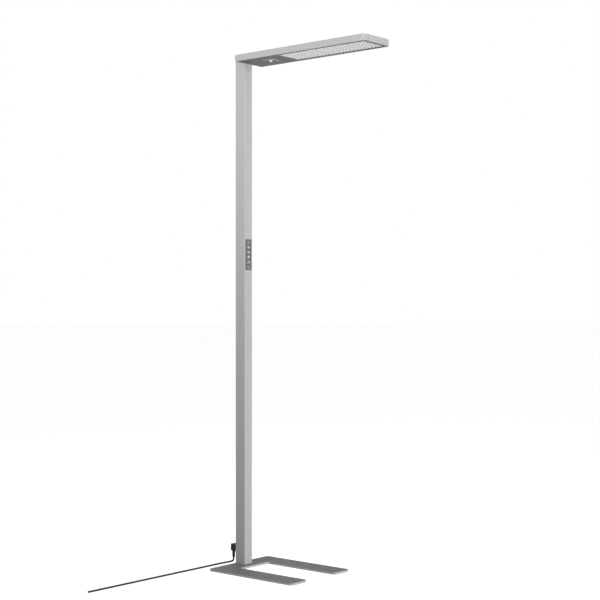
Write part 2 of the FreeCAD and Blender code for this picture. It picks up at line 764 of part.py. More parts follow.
def arm_screws():
    """Two screws that hold the band to the arms of the yoke, headed on the inside."""
    station = size("column_depth") / 2 + size("end_thick") + size("arm_screw_inset")
    inside = (size("head_width") / 2 - size("head_wall") - 2 * size("seat_gap")
              - size("yoke_thick") - size("arm_head_height"))
    middle = size("overall_height") - size("head_depth") / 2
    grip = (size("arm_head_height") + size("seat_gap") + size("yoke_thick") + size("seat_gap")
            + size("arm_screw_bite"))
    pair = []
    for way, turn in ((1, "+Y"), (-1, "-Y")):
        pair += screw_copies([Vector(station, way * inside, middle)], turn,
                             size("small_screw_dia"), grip, size("small_screw_head"),
                             size("arm_head_height"), False)
    thing = doc.addObject("Part::Feature", "ArmScrews")
    thing.Shape = Part.makeCompound(pair)
    return node(thing, "yoke_screws")


def cover_blank(cover, low):
    """A sheet that drops into the band, with its two front corners following the band's."""
    shape = sketch(cover, "CoverOutline", "XY", low)
    rectangle(shape, "band_back + seat_gap", "head_front - head_wall - seat_gap",
              "seat_gap - band_half", "band_half - seat_gap")
    pad(cover, "CoverSheet", shape, "cover_thick")
    front = (size("column_depth") / 2 + size("head_length") - size("head_wall")
             - size("seat_gap"))
    dressed(cover, "Fillet", "CoverCorners",
            lambda edge: upright(edge) and abs(edge.Vertexes[0].Point.x - front) < 1e-6,
            "head_corner - head_wall - seat_gap")


def underside_cover():
    """The sheet below the head, with the light opening and the sensor hole."""
    cover = body("UndersideCover")
    cover_blank(cover, "low_cover_low")
    openings = sketch(cover, "UndersideOpenings", "XY", "low_cover_top")
    rectangle(openings, "panel_back", "panel_front", "0 - panel_half", "panel_half")
    circle(openings, "sensor_x", "0", "neck_dia + 2 * hole_gap")
    pocket(cover, "UndersidePocket", openings, "cover_thick + seat_gap")
    return node(cover, "underside_cover")


def top_cover():
    """The lid of the head, with the long window for the upward light."""
    cover = body("TopCover")
    cover_blank(cover, "top_cover_low")
    openings = sketch(cover, "TopOpenings", "XY", "top_cover_low + cover_thick")
    rectangle(openings, "panel_back", "panel_front", "0 - pane_width / 2", "pane_width / 2")
    for x in COVER_SCREW_ROW:
        for y in ("head_width / 2 - head_wall - ledge_width / 2",
                  "head_wall + ledge_width / 2 - head_width / 2"):
            circle(openings, x, y, "cover_screw_dia + 2 * hole_gap")
    pocket(cover, "TopPocket", openings, "cover_thick + seat_gap")
    top = size("overall_height") - size("cover_recess")
    dressed(cover, "Chamfer", "TopSinks",
            lambda edge: level(edge, top) and edge.Curve.TypeId == "Part::GeomCircle"
            and edge.Curve.Radius < size("cover_screw_dia"),
            "(cover_screw_head - cover_screw_dia) / 2")
    return node(cover, "top_cover")


def top_cover_screws():
    stations = (size("cover_screw_inset"), size("head_length") - size("cover_screw_inset"))
    row = size("head_width") / 2 - size("head_wall") - size("ledge_width") / 2
    places = [Vector(size("column_depth") / 2 + x, side * row,
                     size("overall_height") - size("cover_recess") - size("seat_gap"))
              for x in stations for side in (1, -1)]
    return screws("top_cover_screws", places, "-Z", size("cover_screw_dia"),
                  size("cover_thick") + size("ledge_thick"), size("cover_screw_head"),
                  (size("cover_screw_head") - size("cover_screw_dia")) / 2, True)


# ---------------------------------------------------------------- light
def prism_panel():
    """The clear panel of the light opening: two crossed sets of V-grooves leave pyramids."""
    panel = body("PrismPanel")
    slab = sketch(panel, "PanelOutline", "XY", "low_cover_low")
    rectangle(slab, "panel_back + panel_gap", "panel_front - panel_gap",
              "panel_gap - panel_half", "panel_half - panel_gap")
    pad(panel, "PanelSlab", slab, "panel_top - low_cover_low")
    lip = sketch(panel, "LipOutline", "XY", "low_cover_top + seat_gap")
    rectangle(lip, "panel_back - panel_lip", "panel_front + panel_lip",
              "0 - panel_half - panel_lip", "panel_half + panel_lip")
    pad(panel, "PanelLip", lip, "lip_thick")
    reach = size("head_length") - size("panel_start") + size("head_width")
    pitch = size("prism_pitch")
    count = 2 * math.ceil(reach / math.sqrt(2) / pitch / 2)
    for side, angle in (("Left", 45), ("Right", -45)):
        lean = math.sin(math.radians(angle))
        groove = sketch(panel, side + "Groove", "XZ")
        groove.AttachmentOffset = Placement(Vector(), Rotation(Vector(0, 1, 0), angle))
        run = f"{(count - 1) / 2 * math.sqrt(0.5)} * prism_pitch"
        groove.setExpression("AttachmentOffset.Base.x",
                             link(f"(panel_back + panel_front) / 2 - {run}"))
        groove.setExpression("AttachmentOffset.Base.z",
                             link(run if lean > 0 else f"0 - {run}"))
        half = "(prism_pitch + prism_overlap) / 2"
        outline(groove, [("0 - " + half, "low_cover_low"), (half, "low_cover_low"),
                         ("0", "low_cover_low + prism_depth")])
        cut = pocket(panel, side + "GrooveCut", groove, "head_length")
        cut.SideType = "Symmetric"
        rows = panel.newObject("PartDesign::LinearPattern", side + "Grooves")
        rows.Originals = [cut]
        rows.Direction = (groove, ["H_Axis"])
        bind(rows, Length=f"{count - 1} * prism_pitch")
        rows.Occurrences = count
        panel.Tip = rows
    return node(panel, "prism_panel")


def frustum(name, inset, low, high):
    """A box whose four sides lean inwards from low to high, inset from the light opening."""
    wedge = doc.addObject("Part::Wedge", name)
    wedge.Placement = Placement(Vector(), Rotation(Vector(1, 0, 0), 90))
    top = f"{inset} + reflector_slope"
    bind(wedge, Xmin=f"panel_back + {inset}", Xmax=f"panel_front - ({inset})",
         Zmin=f"{inset} - panel_half", Zmax=f"panel_half - ({inset})", Ymin=low, Ymax=high,
         X2min=f"panel_back + {top}", X2max=f"panel_front - ({top})",
         Z2min=f"{top} - panel_half", Z2max=f"panel_half - ({top})")
    return wedge


def reflector():
    """A white tray with leaning walls between the light board and the panel."""
    low = "panel_top + seat_gap"
    high = "down_board_low - seat_gap"
    inset = "board_inset - reflector_slope"
    outer = frustum("ReflectorOuter", inset, low, high)
    inner = frustum("ReflectorInner", inset + " + reflector_wall", low, high)
    return node(without("Reflector", outer, [inner]), "downlight_reflector")


def light_board(name, half_width, low, label):
    board = block(name, ("panel_back + board_inset", f"0 - ({half_width})", low),
                  ("panel_front - board_inset", half_width, low + " + board_thick"))
    return node(board, label)


def light_points(label, half_width, low, columns, rows):
    """A grid of square emitters that reaches to led_edge from the sides of its board."""
    first = (size("column_depth") / 2 + size("panel_start") + size("board_inset")
             + size("led_edge"))
    last = (size("column_depth") / 2 + size("head_length") - size("panel_border")
            - size("board_inset") - size("led_edge"))
    side = size("led_size")
    half = half_width - size("led_edge")
    chips = []
    for i in range(columns):
        x = first + (last - first) * i / (columns - 1) - side / 2
        for j in range(rows):
            y = half * (2 * j / (rows - 1) - 1) - side / 2
            chips.append(Part.makeBox(side, side, size("led_height"), Vector(x, y, low)))
    thing = doc.addObject("Part::Feature", label)
    thing.Shape = Part.makeCompound(chips)
    return node(thing, label)


def top_stack(*parts):
    """The height reached by going down from the top cover's underside through the parts."""
    return (size("overall_height") - size("cover_recess") - size("cover_thick")
            - sum(size(part) for part in parts))


def downlight():
    light_board("DownBoard", "panel_half - board_inset", "down_board_low", "downlight_board")
    low = top_stack("seat_gap", "seat_gap", "seat_gap", "lip_thick", "uplight_air", "led_height",
                    "board_thick", "board_thick", "spreader_thick", "led_height")
    half = size("head_width") / 2 - size("panel_border") - size("board_inset")
    light_points("downlight_leds", half, low, LIGHT_COLUMNS, DOWNLIGHT_ROWS)


def uplight():
    light_board("UpBoard", "pane_width / 2 - board_inset", "up_board_low", "uplight_board")
    low = top_stack("seat_gap", "lip_thick", "uplight_air", "led_height")
    light_points("uplight_leds", size("pane_width") / 2 - size("board_inset"), low,
                 LIGHT_COLUMNS, UPLIGHT_ROWS)


def heat_spreader():
    """A folded sheet that stands on the band's low ledges and carries both light boards."""
    back = "panel_back - board_inset"
    front = "head_front - head_corner - hole_gap"
    side = "(band_half - seat_gap)"
    deck = block("SpreaderDeck", (back, "0 - " + side, "spreader_low"),
                 (front, side, "spreader_low + spreader_thick"))
    foot = "head_low + ledge_reach + seat_gap"
    near = block("SpreaderNear", (back, "0 - " + side, foot),
                 (front, f"spreader_thick - {side}", "spreader_low"))
    far = block("SpreaderFar", (back, f"{side} - spreader_thick", foot),
                (front, side, "spreader_low"))
    return node(joined("Spreader", [deck, near, far]), "heat_spreader")


def uplight_pane():
    """The pane of the upper window, with a lip below the lid."""
    clear = block("PaneBody",
                  ("panel_back + panel_gap", "panel_gap - pane_width / 2", "pane_low"),
                  ("panel_front - panel_gap", "pane_width / 2 - panel_gap",
                   "overall_height - cover_recess"))
    lip = block("PaneLip",
                ("panel_back - panel_lip", "0 - pane_width / 2 - panel_lip", "pane_low"),
                ("panel_front + panel_lip", "pane_width / 2 + panel_lip",
                 "pane_low + lip_thick"))
    return node(joined("Pane", [clear, lip]), "uplight_pane")


# ---------------------------------------------------------------- head electrics
def led_driver():
    """The flat converter behind the light panel, on two foot tabs."""
    start = "(column_depth / 2 + driver_start)"
    floor = "low_cover_top + seat_gap"
    case = block("DriverCase", (start, "driver_low", floor),
                 (f"{start} + driver_length", "driver_high", "top_cover_low - driver_air"))
    eased = rounded("DriverEased", case, upright, "strip_corner")
    foot = block("DriverFoot",
                 (f"{start} - driver_tab", "driver_low + driver_tab_inset", floor),
                 (f"{start} + driver_length + driver_tab", "driver_high - driver_tab_inset",
                  f"{floor} + driver_foot"))
    return node(joined("Driver", [eased, foot]), "led_driver")


def terminal_block():
    """Three clamps in one housing: the supply lead ends against its back face."""
    start = "(column_depth / 2 + terminal_start)"
    floor = "low_cover_top + seat_gap"
    case = block("TerminalCase", (start, "0 - terminal_width / 2", floor),
                 (f"{start} + terminal_length", "terminal_width / 2",
                  f"{floor} + terminal_height"))
    wells = [block(f"TerminalWell{i}",
                   (f"{start} + (terminal_length - terminal_well) / 2",
                    f"{step} * terminal_pitch - terminal_well / 2",
                    f"{floor} + terminal_height / 2"),
                   (f"{start} + (terminal_length + terminal_well) / 2",
                    f"{step} * terminal_pitch + terminal_well / 2",
                    f"{floor} + terminal_height + seat_gap"))
             for i, step in enumerate((-1, 0, 1))]
    return node(without("Terminal", case, wells), "terminal_block")


# ---------------------------------------------------------------- leads
def path_of(points, bends):
    """Straight runs joined by tangent arcs: bends holds a radius for each inner point."""
    edges = []
    here = points[0]
    for before, corner, after, bend in zip(points, points[1:], points[2:], bends):
        come = (corner - before).normalize()
        leave = (after - corner).normalize()
        turn = come.getAngle(leave)
        cut = bend * math.tan(turn / 2)
        start = corner - come * cut
        stop = corner + leave * cut
        centre = corner + (leave - come).normalize() * (bend / math.cos(turn / 2))
        middle = centre + (corner - centre).normalize() * bend
        edges.append(Part.LineSegment(here, start).toShape())
        edges.append(Part.Arc(start, middle, stop).toShape())
        here = stop
    edges.append(Part.LineSegment(here, points[-1]).toShape())
    return Part.Wire(edges)


def widest_bends(points):
    """For each inner point the largest arc: 0.45 of the shorter run over tan(half the turn)."""
    radii = []
    for before, corner, after in zip(points, points[1:], points[2:]):
        come = corner - before
        leave = after - corner
        run = min(come.Length, leave.Length)
        radii.append(0.45 * run / math.tan(come.getAngle(leave) / 2))
    return radii


def tube(label, points, bends, diameter):
    """A round lead along a path, with its volume compared with section times length."""
    path = path_of(points, bends)
    start = (points[1] - points[0]).normalize()
    ring = Part.Wire(Part.makeCircle(diameter / 2, points[0], start))
    solid = path.makePipeShell([ring], True, True)
    expected = math.pi * diameter ** 2 / 4 * path.Length
    print(f"{label}: length {path.Length:.1f}, volume {solid.Volume / expected:.5f} of section"
          f" times length, radii " + " ".join(f"{bend:.1f}" for bend in bends))
    thing = doc.addObject("Part::Feature", label)
    thing.Shape = solid
    return node(thing, label)


def supply_cable():
    """From the top of the inlet up the column, through the head block, to the terminals."""
    riser = -size("riser_offset")
    high = size("overall_height") - size("head_depth") / 2
    points = [
        Vector(riser, 0, size("inlet_centre") + size("inlet_body_tall") / 2 + size("seat_gap")),
        Vector(riser, 0, high),
        Vector(size("column_depth") / 2 + size("terminal_start") - size("seat_gap"), 0, high),
    ]
    return tube("supply_cable", points, [size("supply_bend")], size("supply_dia"))


# The free cord, point by point: straight down out of the boot, then along the floor.
CORD_ROUTE = [
    (-53.25, 0.0, 14.0),
    (-60.0, -6.0, 9.5),
    (-69.0, -22.0, 7.5),
    (-80.0, -45.0, 5.0),
    (-87.0, -75.0, 3.5),
    (-88.0, -707.0, 3.5),
]


def mains_cord():
    """The free cord, whose cut end lies on the floor beside the base."""
    start = Vector(-size("column_depth") / 2 - size("boot_reach"), 0,
                   size("inlet_centre") - size("connector_tall") / 2 - size("boot_length"))
    points = [start] + [Vector(*point) for point in CORD_ROUTE]
    return tube("mains_cord", points, widest_bends(points), size("cord_dia"))


# ---------------------------------------------------------------- sensor
def sensor_collar():
    """A low dished ring under the head whose neck passes up through the cover."""
    collar = body("SensorCollar")
    half = sketch(collar, "CollarProfile", "XZ", shift="sensor_x")
    bore = "lens_dia / 2 + hole_gap"
    outline(half, [
        (bore, "low_cover_low - collar_drop + dish_depth"),
        (bore + " + 2 * hole_gap", "low_cover_low - collar_drop + dish_depth"),
        ("collar_dia / 2 - collar_edge - collar_rim", "low_cover_low - collar_drop"),
        ("collar_dia / 2 - collar_edge", "low_cover_low - collar_drop"),
        ("collar_dia / 2", "low_cover_low - collar_drop + collar_edge"),
        ("collar_dia / 2", "low_cover_low - seat_gap"),
        ("neck_dia / 2", "low_cover_low - seat_gap"),
        ("neck_dia / 2", "neck_top"),
        (bore, "neck_top"),
    ])
    turned(collar, "CollarRing", half)
    return node(collar, "sensor_collar")


def sensor_lens():
    """The domed lens in the middle of the collar, held by a flange above the neck."""
    lens = body("SensorLens")
    half = sketch(lens, "LensProfile", "XZ", shift="sensor_x")
    outline(half, [
        ("0", "low_cover_low - lens_drop"), ("lens_dia / 2", "low_cover_low - lens_drop"),
        ("lens_dia / 2", "neck_top + seat_gap"),
        ("lens_dia / 2 + flange_width", "neck_top + seat_gap"),
        ("lens_dia / 2 + flange_width", "neck_top + seat_gap + lens_flange"),
        ("0", "neck_top + seat_gap + lens_flange"),
    ])
    turned(lens, "LensBody", half)
    low = size("overall_height") - size("head_depth") + size("cover_recess") - size("lens_drop")
    dressed(lens, "Fillet", "LensDome", lambda edge: level(edge, low)
            and edge.Curve.TypeId == "Part::GeomCircle", "lens_round")
    return node(lens, "sensor_lens")


def sensor_board():
    """The round board above the lens, with its plug socket on top."""
    floor = "neck_top + 2 * seat_gap + lens_flange"
    disc = rod("SensorDisc", ("sensor_x", "0", floor), "+Z", "neck_dia - 2 * flange_width",
               "board_thick")
    socket = block("SensorSocket",
                   ("sensor_x - board_socket_long / 2", "board_socket_wide",
                    f"{floor} + board_thick"),
                   ("sensor_x + board_socket_long / 2", "2 * board_socket_wide",
                    f"{floor} + board_thick + switch_height"))
    return node(joined("SensorBoard", [disc, socket]), "sensor_board")


# ---------------------------------------------------------------- key strip
KEY_NAMES = ["key_presence", "key_uplight", "key_downlight", "key_dim_down", "key_dim_up",
             "key_standby"]


def key_height(number):
    """The centre of one key: the six are stacked evenly about the strip's centre."""
    return f"(strip_centre + {(len(KEY_NAMES) - 1) / 2 - number} * key_pitch)"


def control_bezel():
    """The dark strip let into the column: a face with six key openings and a rim behind it."""
    bezel = body("ControlBezel")
    face = sketch(bezel, "FaceOutline", "YZ", "column_front")
    rectangle(face, "0 - strip_width / 2", "strip_width / 2",
              "strip_centre - strip_height / 2", "strip_centre + strip_height / 2")
    pad(bezel, "StripFace", face, "strip_proud")

    def crossways(edge):
        box = edge.BoundBox
        return box.YLength + box.ZLength < 1e-6

    dressed(bezel, "Fillet", "StripCorners", crossways, "strip_corner")
    insert_y = "(strip_width / 2 - strip_lip - seat_gap)"
    insert_z = "(strip_height / 2 - strip_lip - seat_gap)"
    rim = sketch(bezel, "RimOutline", "YZ", "column_front")
    rectangle(rim, "0 - " + insert_y, insert_y, "strip_centre - " + insert_z,
              "strip_centre + " + insert_z)
    behind = pad(bezel, "StripRim", rim, "column_front - keyboard_front - seat_gap")
    behind.Reversed = True
    well = sketch(bezel, "WellOutline", "YZ", "keyboard_front")
    rectangle(well, f"strip_wall - {insert_y}", f"{insert_y} - strip_wall",
              f"strip_centre - {insert_z} + strip_wall",
              f"strip_centre + {insert_z} - strip_wall")
    pocket(bezel, "StripWell", well, "strip_inner - keyboard_front", away=True)
    opening = sketch(bezel, "KeyOpening", "YZ", "strip_front")
    tall = "key_tall / 2 + key_gap"
    wide = "key_wide / 2 + key_gap"
    last = key_height(len(KEY_NAMES) - 1)
    rectangle(opening, f"0 - ({wide})", wide, f"{last} - ({tall})", f"{last} + {tall}")
    cut = pocket(bezel, "KeyCut", opening, "strip_face + seat_gap")
    rows = bezel.newObject("PartDesign::LinearPattern", "KeyCuts")
    rows.Originals = [cut]
    rows.Direction = (opening, ["V_Axis"])
    bind(rows, Length=f"{len(KEY_NAMES) - 1} * key_pitch")
    rows.Occurrences = len(KEY_NAMES)
    bezel.Tip = rows
    return node(bezel, "control_bezel")


def key(number, label):
    """One key: a cap in its opening, a flange that keeps it in and a stem to its switch."""
    middle = key_height(number)
    cap = block(f"KeyCap{number}",
                ("key_back + key_flange", "0 - key_wide / 2", f"{middle} - key_tall / 2"),
                ("strip_front + key_proud", "key_wide / 2", f"{middle} + key_tall / 2"))

    def crossways(edge):
        box = edge.BoundBox
        return box.YLength + box.ZLength < 1e-6

    soft = rounded(f"KeySoft{number}", cap, crossways, "key_corner")
    flange = block(f"KeyFlange{number}",
                   ("key_back", "0 - key_wide / 2 - key_rim", f"{middle} - key_tall / 2"),
                   ("key_back + key_flange", "key_wide / 2 + key_rim",
                    f"{middle} + key_tall / 2"))
    stem = block(f"KeyStem{number}",
                 ("key_back - stem_length", "0 - key_stem / 2", f"{middle} - key_stem / 2"),
                 ("key_back", "key_stem / 2", f"{middle} + key_stem / 2"))
    return node(joined(f"Key{number}", [soft, flange, stem]), label)


def keypad():
    """The board that closes the strip from behind, with a switch under every key."""
    half_y = "(strip_width / 2 - strip_lip - seat_gap)"
    half_z = "(strip_height / 2 - strip_lip - seat_gap)"
    board = block("KeyBoard", ("keyboard_front - board_thick", "0 - " + half_y,
                               "strip_centre - " + half_z),
                  ("keyboard_front", half_y, "strip_centre + " + half_z))
    node(board, "keypad_board")
    switches = [block(f"Switch{i}",
                      ("keyboard_front", "0 - switch_side / 2",
                       f"{key_height(i)} - switch_side / 2"),
                      ("switch_top", "switch_side / 2", f"{key_height(i)} + switch_side / 2"))
                for i in range(len(KEY_NAMES))]
    node(group("Switches", switches), "keypad_switches")


# ---------------------------------------------------------------- mains inlet and connector
PIN_PLACES = (("0 - pin_span / 2", "inlet_centre - pin_rise / 2"),
              ("pin_span / 2", "inlet_centre - pin_rise / 2"),
              ("0", "inlet_centre + pin_rise / 2"))


def mains_inlet():
    """A snap-in inlet: a flange on the back of the column and a body that holds the pins."""
    flange = block("InletFlange",
                   ("inlet_face", "0 - inlet_flange_wide / 2",
                    "inlet_centre - inlet_flange_tall / 2"),
                   ("column_back", "inlet_flange_wide / 2",
                    "inlet_centre + inlet_flange_tall / 2"))
    shell = block("InletBody",
                  ("column_back", "0 - inlet_body_wide / 2", "inlet_centre - inlet_body_tall / 2"),
                  ("inlet_rear", "inlet_body_wide / 2", "inlet_centre + inlet_body_tall / 2"))
    socket = block("InletSocket",
                   ("inlet_face - inlet_flange", "0 - socket_wide / 2",
                    "inlet_centre - socket_tall / 2"),
                   ("inlet_face + socket_depth", "socket_wide / 2",
                    "inlet_centre + socket_tall / 2"))
    return node(without("Inlet", joined("InletShell", [flange, shell]), [socket]),
                "mains_inlet")


def inlet_pins():
    pins = [block(f"Pin{i}",
                  ("inlet_face + pin_short", f"{y} - pin_wide / 2", f"{z} - pin_tall / 2"),
                  ("inlet_face + socket_depth", f"{y} + pin_wide / 2", f"{z} + pin_tall / 2"))
            for i, (y, z) in enumerate(PIN_PLACES)]
    return node(group("InletPins", pins), "inlet_pins")


def mains_connector():
    """The angled plug on the inlet: a nose in the socket, a soft block and a cord way down."""
    plug = body("MainsConnector")
    shape = sketch(plug, "ConnectorOutline", "YZ", "inlet_face - seat_gap")
    rectangle(shape, "0 - connector_wide / 2", "connector_wide / 2", "connector_low",
              "connector_low + connector_tall")
    blank = pad(plug, "ConnectorBlock", shape, "connector_reach - inlet_flange - seat_gap")
    blank.Reversed = True
    rear = -size("column_depth") / 2 - size("connector_reach")
    dressed(plug, "Fillet", "ConnectorShoulders",
            lambda edge: upright(edge) and abs(edge.BoundBox.XMin - rear) < 1e-6,
            "connector_corner")
    top = size("inlet_centre") + size("connector_tall") / 2
    dressed(plug, "Fillet", "ConnectorTopEdge", lambda edge: level(edge, top),
            "connector_edge")
    nose = sketch(plug, "NoseOutline", "YZ", "inlet_face - seat_gap")
    rectangle(nose, "nose_gap - socket_wide / 2", "socket_wide / 2 - nose_gap",
              "inlet_centre - socket_tall / 2 + nose_gap",
              "inlet_centre + socket_tall / 2 - nose_gap")
    pad(plug, "Nose", nose, "socket_depth")
    slots = sketch(plug, "PinSlots", "YZ", "inlet_face - seat_gap + socket_depth")
    for y, z in PIN_PLACES:
        rectangle(slots, f"{y} - pin_wide / 2 - pin_gap", f"{y} + pin_wide / 2 + pin_gap",
                  f"{z} - pin_tall / 2 - pin_gap", f"{z} + pin_tall / 2 + pin_gap")
    pocket(plug, "PinSlotCuts", slots, "socket_depth - pin_short + pin_gap")
    return node(plug, "mains_connector")


def connector_boot():
    """The tapered strain relief below the connector, ringed with grooves so that it bends."""
    boot = body("ConnectorBoot")
    half = sketch(boot, "BootProfile", "XZ", shift="boot_x")
    steps = 2 * BOOT_GROOVES + 1
    corners = [("0", "connector_low"), ("boot_top_dia / 2", "connector_low")]
    for i in range(1, steps + 1):
        down = f"connector_low - {i} * boot_length / {steps}"
        wide = f"boot_top_dia / 2 - {i} * (boot_top_dia - boot_end_dia) / {2 * steps}"
        deep = wide + " - groove_depth"
        corners += [(wide, down), (deep, down)] if i % 2 else [(deep, down), (wide, down)]
    corners[-1] = ("0", "connector_low - boot_length")
    outline(half, corners)
    turned(boot, "BootBody", half)
    return node(boot, "connector_boot")


def main():
    base_plate()
    floor_glides()
    foot_screws()
    foot_block()
    column_profile()
    column_top_cap()
    cap_screws()
    head_block()
    head_frame()
    end_plate()
    yoke()
    joint_screws()
    end_plate_screws()
    arm_screws()
    underside_cover()
    prism_panel()
    reflector()
    downlight()
    heat_spreader()
    uplight()
    uplight_pane()
    top_cover()
    top_cover_screws()
    led_driver()
    terminal_block()
    sensor_collar()
    sensor_lens()
    sensor_board()
    control_bezel()
    for number, label in enumerate(KEY_NAMES):
        key(number, label)
    keypad()
    mains_inlet()
    inlet_pins()
    mains_connector()
    connector_boot()
    supply_cable()
    mains_cord()
    doc.recompute()
    faults = [thing.Name for thing in doc.Objects
              if "Invalid" in thing.State or "Error" in thing.State]
    faults += [thing.Label for thing in NODES
               if thing.Shape.isNull() or not thing.Shape.isValid()]
    if faults:
        raise SystemExit("not built: " + ", ".join(faults))
    os.makedirs("parts", exist_ok=True)
    for thing in NODES:
        thing.Shape.exportStep(f"parts/{thing.Label}.step")
        box = thing.Shape.BoundBox
        print(f"{thing.Label:20s} solids {len(thing.Shape.Solids):3d} volume {thing.Shape.Volume:10.0f}"
              f" x {box.XMin:.1f} {box.XMax:.1f} y {box.YMin:.1f} {box.YMax:.1f}"
              f" z {box.ZMin:.1f} {box.ZMax:.1f}")


main()
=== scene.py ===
import json
import math

import bmesh
import bpy
import numpy as np
from mathutils import Euler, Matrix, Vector

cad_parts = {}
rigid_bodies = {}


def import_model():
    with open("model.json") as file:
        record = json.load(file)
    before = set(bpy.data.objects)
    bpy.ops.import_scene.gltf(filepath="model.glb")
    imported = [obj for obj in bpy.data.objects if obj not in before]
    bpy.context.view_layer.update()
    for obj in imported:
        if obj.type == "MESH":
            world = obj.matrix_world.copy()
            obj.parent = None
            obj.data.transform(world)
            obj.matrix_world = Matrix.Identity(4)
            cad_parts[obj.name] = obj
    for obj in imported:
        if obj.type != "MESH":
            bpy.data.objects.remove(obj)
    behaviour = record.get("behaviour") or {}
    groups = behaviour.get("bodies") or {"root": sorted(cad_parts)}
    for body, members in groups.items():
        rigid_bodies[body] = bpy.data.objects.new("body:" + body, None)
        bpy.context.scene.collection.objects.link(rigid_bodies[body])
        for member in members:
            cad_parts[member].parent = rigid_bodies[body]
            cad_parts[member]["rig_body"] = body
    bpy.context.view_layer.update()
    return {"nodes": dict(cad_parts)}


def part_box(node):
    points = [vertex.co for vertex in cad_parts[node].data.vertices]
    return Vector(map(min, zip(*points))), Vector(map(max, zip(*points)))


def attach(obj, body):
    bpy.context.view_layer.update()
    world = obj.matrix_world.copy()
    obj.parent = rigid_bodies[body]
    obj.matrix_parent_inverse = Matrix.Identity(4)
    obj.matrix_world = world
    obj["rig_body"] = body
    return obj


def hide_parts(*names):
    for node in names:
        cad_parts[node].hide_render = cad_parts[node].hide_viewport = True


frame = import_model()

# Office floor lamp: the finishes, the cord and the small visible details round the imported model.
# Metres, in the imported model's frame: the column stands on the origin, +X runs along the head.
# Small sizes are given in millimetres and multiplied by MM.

MM = 0.001
LAMP = "lamp"
KEYS = ["key_presence", "key_uplight", "key_downlight", "key_dim_down", "key_dim_up",
        "key_standby"]


# ------------------------------------------------------------------ finishes
def tone(red, green=None, blue=None):
    """A display colour of 0 to 255 a channel as linear light, with full alpha."""
    shown = np.array([red, red if green is None else green, red if blue is None else blue]) / 255
    linear = np.where(shown <= 0.04045, shown / 12.92, ((shown + 0.055) / 1.055) ** 2.4)
    return (*linear.tolist(), 1.0)


def bare_tree(owner):
    """The emptied node tree of a material or a world."""
    owner.use_nodes = True
    owner.node_tree.nodes.clear()
    return owner.node_tree


class Wire:
    """One socket of a finish: arithmetic on it adds Math nodes."""

    def __init__(self, finish, socket):
        self.finish = finish
        self.socket = socket

    def maths(self, operation, *values):
        return self.finish.node("ShaderNodeMath", {"operation": operation},
                                dict(enumerate(values)))

    def __add__(self, other):
        return self.maths("ADD", self, other)

    def __sub__(self, other):
        return self.maths("SUBTRACT", self, other)

    def __rsub__(self, other):
        return self.maths("SUBTRACT", other, self)

    def __mul__(self, other):
        return self.maths("MULTIPLY", self, other)

    def __abs__(self):
        return self.maths("ABSOLUTE", self)

    __radd__ = __add__
    __rmul__ = __mul__


# The sockets of a Mix node that mixes two colours.
MIX_FACTOR = 0
MIX_DARK = 6
MIX_LIGHT = 7
MIXED_COLOUR = 2


class Finish:
    """A material built round one Principled shader, with its patterns on Object coordinates."""

    def __init__(self, name, **numbers):
        self.material = bpy.data.materials.new(name)
        self.tree = bare_tree(self.material)
        self.shader = self.tree.nodes.new("ShaderNodeBsdfPrincipled")
        output = self.tree.nodes.new("ShaderNodeOutputMaterial")
        self.tree.links.new(self.shader.outputs[0], output.inputs["Surface"])
        self.give(**numbers)

    def put(self, inlet, value):
        """Links a Wire to a socket, or sets the socket to a plain value."""
        if isinstance(value, Wire):
            self.tree.links.new(value.socket, inlet)
        else:
            inlet.default_value = value

    def give(self, **values):
        """Sets or links sockets of the shader: Base_Color stands for Base Color."""
        for name, value in values.items():
            self.put(self.shader.inputs[name.replace("_", " ")], value)

    def node(self, kind, settings=None, sockets=None, outlet=0):
        """Adds a node: its settings first, then the values or links of its sockets."""
        made = self.tree.nodes.new(kind)
        for name, value in (settings or {}).items():
            setattr(made, name, value)
        for place, value in (sockets or {}).items():
            self.put(made.inputs[place], value)
        return Wire(self, made.outputs[outlet])

    def noise(self, grains, stretch=(1, 1, 1), detail=2.0, rough=0.5):
        """Soft noise of 0 to 1 with that many grains a metre, drawn out along an axis whose
        stretch is small."""
        point = self.node("ShaderNodeTexCoord", outlet="Object")
        place = self.node("ShaderNodeMapping", sockets={"Vector": point, "Scale": stretch})
        return self.node("ShaderNodeTexNoise", sockets={
            "Vector": place, "Scale": grains, "Detail": detail, "Roughness": rough})

    def step(self, value, low, high):
        """0 below low, 1 above high, and a ramp between them."""
        return self.node("ShaderNodeMapRange", {"clamp": True}, {
            "Value": value, "From Min": low, "From Max": high})

    def mix(self, mask, dark, light):
        """The colour dark where the mask is 0 and light where it is 1."""
        return self.node("ShaderNodeMix", {"data_type": "RGBA"}, {
            MIX_FACTOR: mask, MIX_DARK: dark, MIX_LIGHT: light}, outlet=MIXED_COLOUR)

    def rim(self, low, high):
        """1 on upright walls and 0 on level faces, by the upright part of the piece's normal: the
        mask of painted light on walls.
        """
        faces = self.node("ShaderNodeTexCoord", outlet="Normal")
        upright = self.node("ShaderNodeSeparateXYZ", sockets={0: faces}, outlet="Z")
        return 1 - self.step(abs(upright), low, high)

    def bump(self, height, depth):
        """A normal from a height of 0 to 1 that stands for a depth in metres."""
        return self.node("ShaderNodeBump", sockets={"Height": height, "Distance": depth})


# Both silvers show the die lines of the extrusion, with metal flakes between them. Lines and
# flakes are counted in grains a metre, and a line is noise with this small stretch along it.
DIE_LINES = 900
FLAKES = 3200
DRAWN_OUT = 0.004
SILVER_RELIEF = 0.006 * MM


